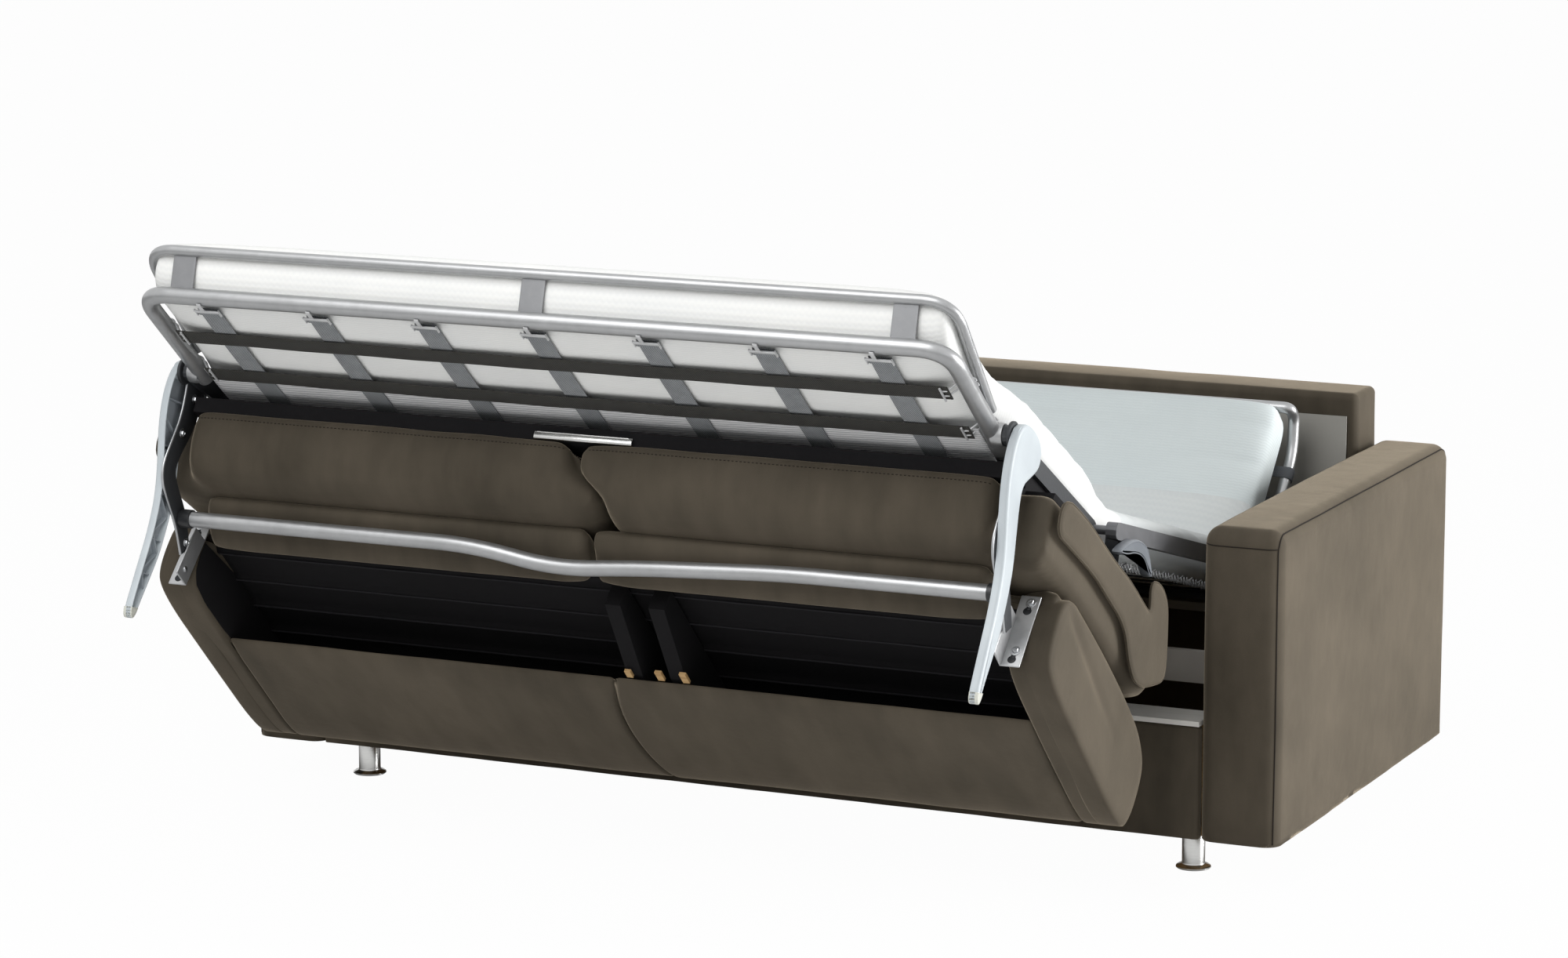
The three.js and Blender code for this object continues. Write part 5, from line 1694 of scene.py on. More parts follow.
@dataclass
class Mattress:
    """One mattress in seven pieces: four that lie on the sections and three that bend at the hinges.

    A station of it is a rounded bar across the sofa, given by a bottom point, a top point and a half width.
    """

    finishes: Finishes
    half_width: float = 775.0
    end_half_width: float = 742.0
    above: float = 55.0
    below: float = 50.0
    foot_height: float = 103.0
    pitch: float = 9.0
    channel: float = 84.0
    fine_channel: float = 28.0

    def lines(self) -> tuple[Points, Points, Points]:
        """Gives the mattress's bottom and top lines from the foot end to the head, in the sofa's frame.

        Returns:
            The bottom points, the top points and the half widths of the stations between which it is smooth.
        """
        low, high = 2.0, self.foot_height
        rows: list[tuple[Section, Row, Row, float]] = [
            (END, (-281, 66), (-286, 84), self.end_half_width - 30),
            (END, (-272, 40), (-284, 95), self.end_half_width - 12),
            (END, (-258, 19), (-276, 101), self.end_half_width - 4),
            (END, (-238, 2), (-262, 103), self.end_half_width),
            (END, (-220, -6), (-240, high), self.end_half_width),
            (END, (-60, -6), (-80, high), self.end_half_width),
            (END, (-20, 0), (-34, high), self.end_half_width + 8),
            (FOOT, (46, low), (34, high), self.half_width - 8),
            (FOOT, (80, low), (78, high), self.half_width),
            (FOOT, (380, low), (370, high), self.half_width),
            (FOOT, (425, low), (398, high - 4), self.half_width),
            (MIDDLE, (-806, -48), (-790, 84), self.half_width),
            (MIDDLE, (-760, -50), (-728, 62), self.half_width),
            (MIDDLE, (-700, -50), (-670, self.above), self.half_width),
            (MIDDLE, (-90, -50), (-120, self.above), self.half_width),
            (MIDDLE, (-22, -50), (-42, self.above - 4), self.half_width),
            (HEAD, (22, -50), (42, self.above - 4), self.half_width),
            (HEAD, (90, -50), (120, self.above), self.half_width),
            (HEAD, (298, -50), (293, self.above), self.half_width),
            (HEAD, (331, -46), (328, self.above - 1), self.half_width - 3),
            (HEAD, (344, -32), (342, self.above - 9), self.half_width - 14),
            (HEAD, (348, -10), (347, self.above - 26), self.half_width - 30),
        ]
        bottom = np.array([section.yz(np.array(b, float)) for section, b, _, _ in rows])
        top = np.array([section.yz(np.array(t, float)) for section, _, t, _ in rows])
        return bottom, top, np.array([w for *_, w in rows])

    def stations(self, start: int, end: int) -> tuple[Points, Points, Points, Points]:
        """Spaces stations between two of the given rows.

        Args:
            start: The first row.
            end: The last row.

        Returns:
            The bottom points, top points, half widths and the run along the bottom, all in millimetres.
        """
        bottom, top, width = self.lines()
        both = np.concatenate([bottom, top, width[:, None]], 1)
        pieces = []
        for row in range(start, end):
            gap = np.linalg.norm(both[row + 1, :4] - both[row, :4]) / 1.4
            share = np.linspace(0, 1, max(3, int(gap / self.pitch) + 2))[:-1, None]
            pieces.append(both[row] * (1 - share) + both[row + 1] * share)
        line = np.concatenate(pieces + [both[end:end + 1]])
        for _ in range(2):
            line[1:-1] = (line[:-2] + 2 * line[1:-1] + line[2:]) / 4
        run = np.concatenate([[0], np.cumsum(np.linalg.norm(np.diff(line[:, 2:4], axis=0), axis=1))])
        return line[:, :2], line[:, 2:4], line[:, 4], run

    def piece(self, name: str, rows: tuple[int, int], material: Material, body: Body | None) -> Piece:
        """Makes the part of the mattress between two rows.

        A station's outline is a rounded bar: x goes with a power of the cosine and the height with a power of the
        sine. Deep channels run across, with fine ones between.

        Args:
            name: The piece's name.
            rows: The first and last row.
            material: Its finish.
            body: The body that it rides on, or None, which leaves it on no body.

        Returns:
            The piece.
        """
        bottom, top, width, run = self.stations(*rows)
        turn = np.linspace(0, 2 * math.pi, 88, endpoint=False)
        across = np.sign(np.cos(turn)) * np.abs(np.cos(turn)) ** 0.16
        height = np.sign(np.sin(turn)) * np.abs(np.sin(turn)) ** 0.42
        middle, half = (bottom + top) / 2, (top - bottom) / 2
        fade = np.clip(np.minimum(run, run[-1] - run) / 12, 0, 1)
        deep = np.abs(np.sin(math.pi * run / self.channel)) ** 0.5
        fine = np.abs(np.sin(math.pi * run / self.fine_channel)) ** 0.6
        puff = 1 - fade * (0.1 * (1 - deep) + 0.022 * (1 - fine))
        lift = height[None] * np.where(height[None] > 0, puff[:, None], 1.0)
        yz = middle[:, None] + half[:, None] * lift[..., None]
        piping = 1.006 - 0.008 * np.abs(height)[None] ** 6
        x = width[:, None] * across[None] * piping
        grid = np.concatenate([x[..., None], yz], -1)
        upward = half / np.linalg.norm(half, axis=1, keepdims=True)
        grid[..., 1:] += (0.9 * ripple(grid, 260, 61))[..., None] * upward[:, None]
        skin = Skin(name, WORLD)
        skin.closed(grid)
        made = skin.make(material, body, Slot.QUILT, 60)
        return made

    def build(self) -> None:
        """Builds the seven pieces; the three at the hinges ride on no body."""
        f = self.finishes
        flats = [
            ("mattress_end", (0, 6), f.quilt_end_painted_light, Body.END),
            ("mattress_foot", (8, 9), f.quilt_foot, Body.FOOT),
            ("mattress_middle", (13, 14), f.quilt_middle_painted_shade, Body.MIDDLE),
            ("mattress_head", (17, 21), f.quilt_head_painted_shade, Body.HEAD),
        ]
        for node, rows, material, body in flats:
            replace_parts(self.piece(f"{node}_quilted", rows, material, body), node)
        bends = [
            ("mattress_bend_end", (6, 8), f.quilt_foot, Body.FOOT, Body.END, FOOT, 52.0, -14.0),
            ("mattress_bend_foot", (9, 13), f.quilt_foot, Body.FOOT, Body.MIDDLE, FOOT, 395.0, 500.0),
            ("mattress_bend_head", (14, 17), f.quilt_middle_painted_shade, Body.MIDDLE, Body.HEAD, MIDDLE, -48.0, 48.0),
        ]
        for name, rows, material, first, second, section, start, end in bends:
            blended(self.piece(name, rows, material, None), first, second, section, start, end)


@dataclass
class Webs:
    """The straps of the foot end, with their clips and hooks."""

    finishes: Finishes
    half: float = 757.0
    length: float = 258.0
    hoop: float = 15.0
    places: tuple[float, ...] = (-0.83, -0.545, -0.268, 0.006, 0.282, 0.562, 0.836)
    width: float = 42.0
    long_places: tuple[float, ...] = (0.08, 0.555)
    long_width: float = 37.0
    head_width: float = 24.0
    head_cross_width: float = 38.0
    head_half: float = 795.5
    head_places: tuple[float, ...] = (-0.75, -0.38, 0.0, 0.38, 0.75)
    head_long: tuple[float, ...] = (175.0, 245.0)
    bend_ends: tuple[float, float] = (40.0, -12.0)
    lower_run: Pairs = ((20.0, -11.0), (50.0, -16.0), (80.0, -20.0), (100.0, -22.0))
    cloth_half: float = 738.0
    clip_half: float = 24.5
    clip_wire: float = 1.7
    tongue: Pairs = ((21.0, -15.6), (15.0, -17.0), (7.0, -17.6), (-1.0, -17.6), (-4.0, -16.4))

    def run(self, lift: float, start: float) -> Points:
        """Gives the [y, z] run from the hoop to behind the seat strip, in the sofa's frame.

        Args:
            lift: How far it lies above the straps.
            start: Its first y in the foot end.

        Returns:
            Even points on the smoothed run.
        """
        y = np.linspace(start, -24.0, 12)
        sag = -8.5 - 2.0 * np.sin(math.pi * np.clip((y + 236) / 250, 0, 1)) + lift
        upper = END.yz(np.stack([y, sag], 1))
        lower = FOOT.yz(np.array(self.lower_run) + [0, lift * 0.8])
        return respaced(chaikin(np.concatenate([upper, lower]), 2, closed=False), 60, closed=False)

    def cross_straps(self) -> Piece:
        """Makes the seven grey straps from the hoop down behind the seat strip."""
        skin = Skin("foot_end_straps", WORLD)
        run = self.run(0, -self.length + self.hoop + 7)
        for share in self.places:
            x = share * self.half
            add_band(skin, np.column_stack([np.full(len(run), x), run]), self.width, ACROSS)
            y = np.linspace(23, 34, 5) - self.length
            fold = END.yz(np.stack([y, np.full(5, -13.2)], 1))
            add_band(skin, np.column_stack([np.full(5, x), fold]), self.width, ACROSS, 3.4)
        piece = skin.make(self.finishes.strap, None, Slot.WEBBING)
        return blended(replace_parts(piece, "end_webbing"), Body.FOOT, Body.END, FOOT, *self.bend_ends)

    def underside(self) -> Piece:
        """Makes the ribbed cloth behind the lower ends of the straps."""
        run = self.run(2.6, -24.5)
        x = np.linspace(-self.cloth_half, self.cloth_half, 130)
        low = np.concatenate([np.repeat(x[:, None, None], len(run), 1), np.repeat(run[None], 130, 0)], -1)
        low[..., 2] += 0.5 * ripple(low, 90, 91)
        high = low + np.array([0, 0.5, 0.9])
        skin = Skin("underside_cloth", WORLD).shell(low, high)
        piece = skin.make(self.finishes.ticking, None, Slot.QUILT, SMOOTH)
        blended(piece, Body.FOOT, Body.END, FOOT, *self.bend_ends)
        return piece

    def head_straps(self) -> Piece:
        """Makes the webbing under the head section: two long straps round the tube and five across them."""
        skin = Skin("head_straps", HEAD)
        turn = np.linspace(math.radians(60), math.radians(-150), 9)
        round_tube = np.stack([790 + 12.8 * np.cos(turn), -64.1 + 12.8 * np.sin(turn)], 1)
        for y in self.head_long:
            half = np.concatenate([[[0, -51.6], [400, -51.9], [770, -51.6]], round_tube])
            both = np.concatenate([half[:0:-1] * [-1, 1], half])
            path = np.column_stack([both[:, 0], np.full(len(both), y), both[:, 1]])
            add_band(skin, path, self.head_width, ALONG, 1.6)
        y = np.linspace(88, 297, 16)
        for share in self.head_places:
            spine = np.stack([np.full_like(y, share * self.head_half), y, np.full_like(y, -54.0)], 1)
            add_band(skin, spine, self.head_cross_width, ACROSS, 1.6)
        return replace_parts(skin.make(self.finishes.strap_head, Body.HEAD, Slot.WEBBING), "head_webbing")

    def long_straps(self) -> Piece:
        """Makes the two dark straps along the foot end, over the grey ones."""
        skin = Skin("foot_end_long_straps", END)
        for share in self.long_places:
            y = -share * self.length
            x = np.linspace(-self.half + self.hoop + 14, self.half - self.hoop - 14, 60)
            dip = -12.6 - 2.0 * np.cos(math.pi * x / (2 * self.half)) + 0.5 * np.sin(x / 34)
            add_band(skin, np.stack([x, np.full_like(x, y), dip], 1), self.long_width, ALONG)
        return skin.make(self.finishes.strap_dark, Body.END, Slot.WEBBING)

    def clips(self) -> Piece:
        """Makes the clips at the tops of the grey straps: a folded plate with a tongue hooked into the tube."""
        skin = Skin("strap_clips", END)
        tongue = np.array(self.tongue) - [self.length, 0]
        low, half = 17.5 - self.length, self.clip_half
        for share in self.places:
            x = share * self.half
            spine = np.column_stack([np.full(5, x - 5), tongue])
            add_band(skin, chaikin(spine, 2, closed=False), 8.0, ACROSS, 1.6)
            skin.block((x - half, low, -16.2), (x + half, low + 8.5, -14.8), 0.5)
            skin.block((x - half, low, -18.0), (x + half, low + 1.6, -14.8), 0.5)
            for side in SIDES.values():
                near, far = sorted((x + side * (half - 2.5), x + side * half))
                skin.block((near, low, -16.6), (far, low + 17, -13.0), 0.5)
        return skin.make(self.finishes.clip, Body.END, Slot.CHROME)

    def hooks(self) -> Piece:
        """Makes the wire hooks at the ends of the long straps."""
        skin = Skin("strap_hooks", END)
        for share in self.long_places:
            y = -share * self.length
            for side in SIDES.values():
                x = side * (self.half - self.hoop - 18)
                for shift in (-7.0, 7.0):
                    turn = np.linspace(0, math.radians(140), 12)
                    arc = np.stack([side * self.half + side * -17 * np.cos(turn), np.full_like(turn, y + shift),
                                    17 * np.sin(turn)], 1)
                    path = np.concatenate([[[x - side * 8, y + shift, -14.0], [x, y + shift, -13.0]], arc[2:]])
                    skin.tube(path, self.clip_wire, ALONG, 8)
                bar = np.array([[x - side * 8, y + shift, -16.5] for shift in (-19, 0, 19)])
                skin.tube(bar, 2.0, ACROSS, 8)
        return skin.make(self.finishes.clip, Body.END, Slot.CHROME)

    def build(self) -> None:
        """Builds the straps, clips and hooks."""
        self.cross_straps()
        self.underside()
        self.head_straps()
        self.long_straps()
        self.clips()
        self.hooks()


@dataclass
class HangingArms:
    """The plastic legs, the steel arms and the brackets that hang from the hub."""

    finishes: Finishes
    length: float = 460.0
    leg_place: float = 794.6
    leg_thickness: float = 16.0
    arm_place: float = 788.0
    arm_thickness: float = 6.0
    left_edge: Pairs = (
        (-0.043, -0.85), (-0.026, -0.76), (-0.008, -0.67), (0.002, -0.585), (0.004, -0.5), (-0.01, -0.41),
        (-0.042, -0.3), (-0.066, -0.2), (-0.07, -0.1), (-0.052, -0.02),
    )
    crown: Pairs = (
        (-0.015, 0.035), (0.035, 0.055), (0.115, 0.048), (0.18, 0.02), (0.21, -0.02), (0.202, -0.08),
    )
    right_edge: Pairs = (
        (0.13, -0.13), (0.078, -0.165), (0.07, -0.225), (0.085, -0.338), (0.102, -0.45), (0.1, -0.535),
        (0.088, -0.623), (0.072, -0.712), (0.04, -0.803), (0.006, -0.893),
    )
    tip: Pairs = ((-0.03, -0.995), (-0.064, -0.965))
    rib_shares: tuple[float, ...] = (-0.12, -0.3, -0.48, -0.66, -0.8)
    rib_gap_share: float = 0.006
    zigzag_gap_share: float = 0.008
    arm_spine: tuple[tuple[float, float, float], ...] = (
        (0.1, 0.03, 0.15), (0.09, -0.17, 0.11), (0.023, -0.32, 0.08), (0.005, -0.4, 0.09), (0.06, -0.465, 0.085),
        (0.16, -0.55, 0.08), (0.234, -0.665, 0.06),
    )
    arm_bolt_shares: Pairs = ((0.095, -0.09), (0.05, -0.235), (0.0, 0.0), (0.222, -0.63))
    bracket_edges: tuple[float, float] = (781.7, 818.0)
    bracket_sheet: float = 3.5
    bracket_front: float = 246.2
    bracket_bottom: float = -292.0
    bracket_bolts: tuple[float, float] = (-166.0, -262.0)
    plug_place: tuple[float, float, float] = (787.4, 161.5, -206.5)

    def leg(self, label: str, side: int) -> Piece:
        """Makes one leg: a shallow tub with its open side inwards, zigzag ribs and a boss.

        Args:
            label: left or right.
            side: -1 or 1.

        Returns:
            The leg.
        """
        shares = np.array(self.left_edge + self.crown + self.right_edge + self.tip)
        loop = outline(shares * self.length, 2, 220)[::-1]
        t = self.leg_thickness
        rows = np.array([[t, 8.0], [t - 0.2, 5.0], [t - 1.2, 2.4], [t - 3.0, 0.8], [t - 5.2, 0.0], [1.6, 0.0],
                         [0.5, 0.4], [0, 1.2], [0, 2.4], [0.5, 3.1], [1.6, 3.4], [t - 3.4, 3.6]])
        skin = Skin(f"folding_leg_{label}", HANGING)
        skin.closed(carried(loop, (self.leg_place + rows[:, 0]) * side, rows[:, 1]))
        left, right = np.array(self.left_edge), np.array(self.right_edge)[::-1]
        z = np.linspace(-0.19, -0.86, 10)
        # The pocket's floor and ribs are in a darker plastic that is painted shade.
        core = Skin(f"leg_core_{label}", HANGING)
        floor = self.leg_place + t - 3.2
        core.plate(loop + inward(loop) * 3.4, floor * side, (floor - 1.6) * side, 0.5)
        gap = self.zigzag_gap_share
        y = np.where(np.arange(10) % 2 == 0, np.interp(z, left[:, 1], left[:, 0]) + gap,
                     np.interp(z, right[:, 1], right[:, 0]) - gap)
        x = np.full(10, (self.leg_place + 7.2) * side)
        spine = respaced(np.column_stack([x, y * self.length, z * self.length]), 90, closed=False)
        add_band(core, spine, 9.5, ACROSS, 2.6)
        gap = self.rib_gap_share
        for share in self.rib_shares:
            first = np.interp(share, left[:, 1], left[:, 0]) + gap
            last = np.interp(share, right[:, 1], right[:, 0]) - gap
            spine = np.linspace([0, first, share], [0, last, share], 6) * self.length
            spine[:, 0] = x[0]
            add_band(core, spine, 8.5, ACROSS)
        core.make(self.finishes.leg_inside_painted_shade, Body.BACK, Slot.GREY_PLASTIC, 35)
        skin.lathe([(9, 0.4), (15, 0.4), (16, 1.4), (16, 12)], (self.leg_place * side, 0, 0), (side, 0, 0), 36)
        leg = skin.make(self.finishes.plastic, Body.BACK, Slot.GREY_PLASTIC, 35)
        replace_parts(leg, f"leg_{label}")
        end = loop[loop[:, 1] < -0.935 * self.length]
        cap = Skin(f"leg_tip_{label}", HANGING)
        cap.plate(respaced(end, 50), (self.leg_place - 0.5) * side, (self.leg_place + t + 0.5) * side, 1.4)
        cap.make(self.finishes.clear, Body.BACK, Slot.GREY_PLASTIC)
        return leg

    def arm(self, label: str, side: int) -> Piece:
        """Makes one curved steel arm with its eye, a bright strip along its leading edge that is a painted highlight,
        and bolts.

        Args:
            label: left or right.
            side: -1 or 1.

        Returns:
            The arm.
        """
        spine = chaikin(np.array(self.arm_spine) * self.length, 3, closed=False)
        along = np.gradient(spine[:, :2], axis=0)
        along /= np.linalg.norm(along, axis=1, keepdims=True)
        normal = np.stack([-along[:, 1], along[:, 0]], 1) * spine[:, 2:] / 2
        front, rear = spine[:, :2] - normal, spine[:, :2] + normal
        loop = respaced(np.concatenate([front, rear[::-1]]), 160)
        inner, outer = self.arm_place * side, (self.arm_place + self.arm_thickness) * side
        skin = Skin(f"steel_arm_{label}", HANGING)
        skin.plate(loop, inner, outer, 1.6)
        skin.lathe([(10.5, 0.0), (23, 0.0), (24, 1), (24, self.arm_thickness - 1), (23, self.arm_thickness)],
                   (inner, 0, 0), (side, 0, 0), 40)
        arm = skin.make(self.finishes.dark, Body.BACK, Slot.DARK_STEEL)
        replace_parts(arm, f"swing_arm_{label}")
        # A bright tube along the leading edge: painted highlight.
        rim = Skin(f"arm_highlight_rim_{label}", HANGING)
        middle = np.full(len(front), (inner + outer) / 2)
        lead = front if front[:, 0].mean() < rear[:, 0].mean() else rear
        rim.tube(np.column_stack([middle, lead])[6:], 2.4, ACROSS, 10)
        rim.make(self.finishes.edge, Body.BACK, Slot.CHROME)
        bolts = Skin(f"arm_bolts_{label}", HANGING)
        for y, z in self.arm_bolt_shares:
            bolts.bolt((inner, y * self.length, z * self.length), (-side, 0, 0), 5.5)
        bolts.make(self.finishes.bolt, Body.BACK, Slot.CHROME)
        return arm

    def bracket(self, label: str, side: int) -> Piece:
        """Makes one angle bracket with its bolts and rivet, and its keyholes as dark discs of painted shade.

        Args:
            label: left or right.
            side: -1 or 1.

        Returns:
            The bracket.
        """
        edge, front, bottom = self.bracket_edges[0], self.bracket_front, self.bracket_bottom
        near, far = sorted(place * side for place in self.bracket_edges)
        inner = sorted((edge * side, (edge + self.bracket_sheet) * side))
        skin = Skin(f"angle_bracket_{label}", BACK)
        skin.block((near, front, bottom), (far, front + self.bracket_sheet, -152), 1.6)
        skin.block((inner[0], 207.7, bottom), (inner[1], 249.0, -194), 1.6)
        piece = skin.make(self.finishes.stamped, Body.BACK, Slot.CHROME)
        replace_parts(piece, f"bracket_{label}")
        # The keyholes are dark discs in the spring wire's finish standing on the plate, not cut holes: painted shade.
        hole_shades = Skin(f"bracket_hole_shades_{label}", BACK)
        bolts = Skin(f"bracket_bolts_{label}", BACK)
        forward, hole = (0, -1, 0), front - 0.1
        for z in self.bracket_bolts:
            bolts.bolt((803 * side, front, z), forward, 5.8)
            hole_shades.lathe([(7.4, -0.5), (7.4, 0.25), (7.0, 0.35)], (801 * side, hole, z - 17), forward, 28)
            hole_shades.lathe([(4.2, -0.5), (4.2, 0.3), (4.0, 0.4)], (802 * side, hole, z - 10), forward, 20)
        rivet = [(5.5, -0.3), (5.2, 1.6), (3.4, 3.0), (1.0, 3.4)]
        bolts.lathe(rivet, (edge * side, 226, -272), (-side, 0, 0), 24)
        hole_shades.make(self.finishes.wire, Body.BACK, Slot.CHROME)
        bolts.make(self.finishes.bolt, Body.BACK, Slot.CHROME)
        return piece

    def plugs(self) -> Piece:
        """Makes the black end plugs of the cross tube."""
        skin = Skin("tube_plugs", BACK)
        profile = [(15.2, -24), (16.6, -23), (16.8, -3), (15.5, -0.5), (6.0, -0.3)]
        x, y, z = self.plug_place
        for side in SIDES.values():
            skin.lathe(profile, (x * side, y, z), (side, 0, 0), 32)
        return skin.make(self.finishes.black_plastic, Body.BACK, Slot.SILVER)

    def build(self) -> None:
        """Builds both sides and the plugs."""
        for label, side in SIDES.items():
            self.leg(label, side)
            self.arm(label, side)
            self.bracket(label, side)
        self.plugs()


@dataclass
class Fittings:
    """Feet, hinge covers, springs and the stamped brackets of the mattress rail."""

    finishes: Finishes
    rail_places: tuple[tuple[str, float], ...] = (("left", -676.0), ("middle", 0.0), ("right", 676.0))
    rail_start: tuple[float, float] = (-258.0, 0.0)
    rail_way: tuple[float, float] = (-33.0, 71.0)
    rail_ends: tuple[float, float] = (11.0, 5.0)
    rail_half: float = 22.0
    diamond_shares: tuple[float, float] = (0.34, 0.7)
    cover_shares: Pairs = (
        (-0.34, -0.3), (0.29, -0.05), (0.79, -0.09), (1, -0.28), (1.18, -0.55), (1.0, -0.535), (0.76, -0.32),
        (0.42, -0.27), (0.0, -0.335),
    )
    cover_size: float = 125.0
    cover_place: float = 834.0
    cover_start: float = 835.3
    cover_rows: Pairs = (
        (0.3, 0.4), (1.2, 0), (11.5, 0), (14.5, 0.8), (16.4, 2.2), (17.2, 3.6), (16.4, 4.6), (16.4, 6.0),
    )
    foot_profile: Pairs = (
        (28, 0.2), (30.5, 0.3), (32, 1.6), (31.8, 3.6), (29.5, 5.2), (24.5, 6.6), (21.6, 8.4), (21, 11), (21, 70),
        (20.4, 71), (20.4, 72), (21, 73), (21, 79.6),
    )
    spring_level: float = -51.8
    spring_ends: tuple[float, float] = (757.0, 806.0)
    spring_radius: float = 4.6
    spring_turns: int = 9
    spring_wire: float = 1.05
    hook_wire: float = 1.3

    def foot(self, name: str) -> Piece:
        """Makes one turned foot with a flared pad, in the place of a CAD foot."""
        low, high = box_corners(name)
        centre = (low + high) / 2 * [1, 1, 0]
        skin = Skin(f"turned_{name}", WORLD)
        skin.lathe(self.foot_profile, centre, AWAY, 56)
        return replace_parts(skin.make(self.finishes.chrome, Body.BASE, Slot.CHROME), name)

    def cover(self, label: str, side: int) -> Piece:
        """Makes one moulded cap over the fold hinge, with a rounded rim.

        Args:
            label: left or right.
            side: -1 or 1.

        Returns:
            The cap.
        """
        loop = outline(np.array(self.cover_shares) * self.cover_size - [self.cover_place, 0], 2, 110)[::-1]
        rise, inset = np.array(self.cover_rows).T
        skin = Skin(f"hinge_cap_{label}", MIDDLE)
        skin.closed(carried(loop, (self.cover_start + rise) * side, inset))
        cap = skin.make(self.finishes.cover, Body.MIDDLE, Slot.GREY_PLASTIC)
        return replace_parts(cap, f"hinge_cover_{label}")

    def springs(self) -> Piece:
        """Makes the coil springs between the wire mesh and the side bars: a helix with straight ends."""
        skin = Skin("mesh_springs", MIDDLE)
        turn = np.linspace(0, 2 * math.pi * self.spring_turns, 100)
        (near, far), z = self.spring_ends, self.spring_level
        x = np.linspace(near, far, 100)
        radius = self.spring_radius * np.clip(np.minimum(x - near + 1, far + 1 - x) / 4, 0.15, 1)
        for side in SIDES.values():
            for y in np.linspace(-770, -70, 15):
                path = np.column_stack([x * side, y + radius * np.cos(turn), z + radius * np.sin(turn)])
                skin.tube(path, self.spring_wire, (0.35, 1, 0.2), 5)
                inner = [[(near - 10) * side, y, z], [(near - 5) * side, y, z], [(near + 1) * side, y, z]]
                outer = [[(far - 1) * side, y, z], [(far + 2) * side, y, z + 1.3], [(far + 6) * side, y, z + 4.8]]
                for hook in (inner, outer):
                    skin.tube(np.array(hook), self.hook_wire, ALONG, 6)
        return skin.make(self.finishes.stamped, Body.MIDDLE, Slot.DARK_STEEL)

    def rail_bracket(self, label: str, place: float) -> Piece:
        """Makes one stamped bracket between the hoop and the rail.

        The plate is a grid whose height is a rounded border, minus two pressed diamonds and two screw dimples.

        Args:
            label: Its place in words.
            place: Its place along x.

        Returns:
            The bracket.
        """
        start, way = np.array(self.rail_start), np.array(self.rail_way)
        reach = np.linalg.norm(way)
        way /= reach
        normal = np.array([-way[1], way[0]])
        u, v = np.meshgrid(np.linspace(-1, 1, 41), np.linspace(0, 1, 61), indexing="ij")
        first, last = self.rail_ends
        along = first + v * (reach - first - last)
        diamonds = [np.abs(np.abs(u) + np.abs(v - share) * 3.6 - 0.55) for share in self.diamond_shares]
        diamond = np.minimum(*diamonds)
        dimple = np.minimum(np.hypot(u, (v - 0.12) * 2), np.hypot(u, (v - 0.9) * 2))
        height = -1.9 * np.exp(-(diamond / 0.13) ** 2) - 2.0 * np.exp(-(dimple / 0.2) ** 2)
        border = 1.2 * np.clip((np.abs(u) - 0.86) / 0.14, 0, 1)
        skin = Skin(f"stamped_bracket_{label}", END)
        faces = []
        for lift in (1.6 + height + border, -1.4 + border * 0.2):
            yz = start + along[..., None] * way - normal * lift[..., None]
            faces.append(np.concatenate([(place + self.rail_half * u)[..., None], yz], -1))
        skin.shell(*faces)
        made = skin.make(self.finishes.rail_zinc, Body.END, Slot.SILVER, 50)
        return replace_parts(made, f"rail_bracket_{label}")

    def build(self) -> None:
        """Builds all of them."""
        for row in ("front", "rear"):
            for label in SIDES:
                self.foot(f"foot_{row}_{label}")
        for label, side in SIDES.items():
            self.cover(label, side)
        self.springs()
        for label, place in self.rail_places:
            self.rail_bracket(label, place)


# Studio


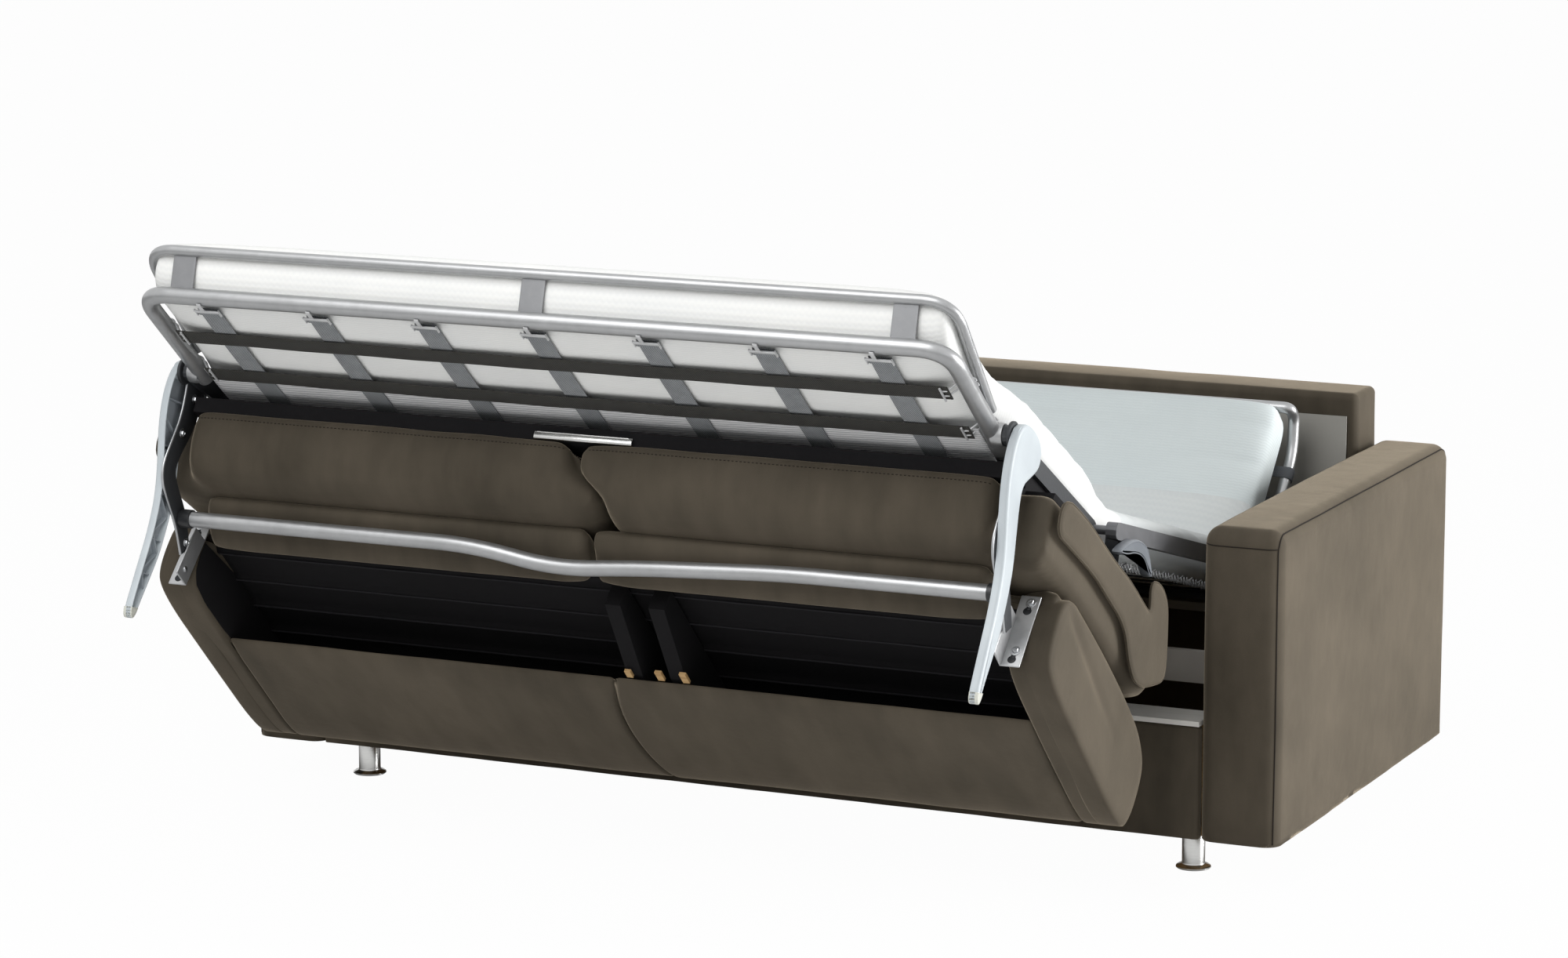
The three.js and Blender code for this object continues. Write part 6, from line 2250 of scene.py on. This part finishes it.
@dataclass
class Studio:
    """The camera at the photograph's angle, the floor and soft light."""

    place: tuple[float, float, float] = (3.7799, -8.1340, 2.3161)
    azimuth: float = 24.63
    pitch: float = 10.51
    focal_pixels: float = 6300.0
    ambient: float = 0.31
    floor_white: float = 0.975
    floor_half: float = 40.0
    lamps: tuple[tuple[str, Row, Row, float, float], ...] = (
        ("top_softbox", (0.8, -0.9, 4.6), (0, -0.1, 0.4), 4.0, 7),
        ("floor_softbox", (-0.2, -3.4, 3.4), (-0.2, -2.9, 0), 3.4, 118),
        ("right_softbox", (5.4, 1.9, 1.3), (0.9, 0.4, 0.4), 2.6, 275),
        ("right_front_softbox", (5.6, -2.2, 2.4), (0.4, -0.2, 0.6), 2.6, 5),
    )

    def camera(self) -> None:
        """Adds the camera."""
        data = bpy.data.cameras.new("camera")
        data.lens = SENSOR_WIDTH * self.focal_pixels / IMAGE_WIDTH
        data.sensor_width = SENSOR_WIDTH
        data.clip_end = 100
        camera = bpy.data.objects.new("camera", data)
        bpy.context.scene.collection.objects.link(camera)
        turn, dip = math.radians(self.azimuth), math.radians(self.pitch)
        ahead = Vector((-math.sin(turn) * math.cos(dip), math.cos(turn) * math.cos(dip), -math.sin(dip)))
        camera.location = self.place
        camera.rotation_euler = ahead.to_track_quat("-Z", "Y").to_euler()
        bpy.context.scene.camera = camera

    def lamp(self, name: str, place: Row, aim: Row, size: float, power: float) -> None:
        """Adds a square soft lamp.

        Args:
            name: Its name.
            place: Where it stands, in metres.
            aim: The point that it faces.
            size: The length of its side.
            power: Its power in watts.
        """
        data = bpy.data.lights.new(name, "AREA")
        data.size = size
        data.energy = power
        lamp = bpy.data.objects.new(name, data)
        bpy.context.scene.collection.objects.link(lamp)
        lamp.location = place
        lamp.rotation_euler = (Vector(aim) - Vector(place)).to_track_quat("-Z", "Y").to_euler()

    def world(self) -> None:
        """Sets a white backdrop for the camera and for reflections, and plain light for surfaces."""
        world = bpy.data.worlds.new("studio")
        bpy.context.scene.world = world
        world.use_nodes = True
        nodes, links = world.node_tree.nodes, world.node_tree.links
        background = next(n for n in nodes if n.type == "BACKGROUND")
        path = nodes.new("ShaderNodeLightPath")
        white = path.outputs["Is Camera Ray"]
        for kind in ("Is Glossy Ray", "Is Transmission Ray"):
            either = nodes.new("ShaderNodeMath")
            either.operation = "MAXIMUM"
            links.new(white, either.inputs[0])
            links.new(path.outputs[kind], either.inputs[1])
            white = either.outputs[0]
        strength = nodes.new("ShaderNodeMapRange")
        strength.inputs["To Min"].default_value = self.ambient
        strength.inputs["To Max"].default_value = 1.0
        links.new(white, strength.inputs["Value"])
        background.inputs["Color"].default_value = (1, 1, 1, 1)
        links.new(strength.outputs[0], background.inputs["Strength"])

    def floor(self) -> None:
        """Adds a pale floor that stays white for the camera and keeps the sofa's shadow."""
        s = Shader("studio_floor")
        grain = s.noise(s.place(), 3, 2.0, 0.5)
        s.set(Base_Color=s.ramp(grain, [(0.3, 0.86), (0.7, 0.88)]), Roughness=0.9, Specular_IOR_Level=0.1)
        glow = s.tree.nodes.new("ShaderNodeEmission")
        mixed = s.tree.nodes.new("ShaderNodeMixShader")
        path = s.tree.nodes.new("ShaderNodeLightPath")
        share = Wire(s, path.outputs["Is Camera Ray"]) * self.floor_white
        s.tree.links.new(share.socket, mixed.inputs[0])
        s.tree.links.new(s.surface.outputs[0], mixed.inputs[1])
        s.tree.links.new(glow.outputs[0], mixed.inputs[2])
        s.tree.links.new(mixed.outputs[0], s.output.inputs[0])
        mesh = bpy.data.meshes.new("floor")
        corners = [(-1, -1, 0), (1, -1, 0), (1, 1, 0), (-1, 1, 0)]
        mesh.from_pydata((np.array(corners) * self.floor_half).tolist(), [], [(0, 1, 2, 3)])
        mesh.materials.append(s.material)
        floor = bpy.data.objects.new("floor", mesh)
        bpy.context.scene.collection.objects.link(floor)

    def build(self) -> None:
        """Builds the whole studio."""
        self.camera()
        self.world()
        self.floor()
        for lamp in self.lamps:
            self.lamp(*lamp)
        bpy.context.scene.view_settings.view_transform = "Standard"


def dress_nodes(finishes: Finishes) -> None:
    """Gives the CAD nodes that stay in view their finishes.

    Args:
        finishes: The sofa's finishes.
    """
    chosen = {
        finishes.wood: ["arm_frame_left", "arm_frame_right", "back_frame", "floor_board"],
        finishes.laminate: ["front_ledge"],
        finishes.panel: ["front_beam"],
        finishes.bar_grey: ["middle_bar_left", "middle_bar_right"],
        finishes.dark: ["side_plate_left", "side_plate_right", "middle_tube_rear", "middle_tube_front",
                        "foot_bar_left", "foot_bar_right"],
        finishes.wire: ["spring_mesh"],
        finishes.black: ["seat_frame", "seat_strip"],
        finishes.black_back: ["backrest_stile_left", "backrest_stile_right"],
    }
    for material, names in chosen.items():
        for name in names:
            mesh = frame["nodes"][name].data
            mesh.materials.clear()
            mesh.materials.append(material)


def main() -> None:
    """Builds the studio and every piece, in order."""
    logging.basicConfig(level=logging.INFO, format="%(name)s %(message)s")
    Studio().build()
    finishes = Finishes()
    dress_nodes(finishes)
    units = (Upholstery, BackCloth, SeatUnit, BackrestUnit, BedTubes, Mattress, Webs, HangingArms, Fittings)
    for unit in units:
        log.info("building %s", unit.__name__)
        unit(finishes).build()


if __name__ == "__main__":
    main()
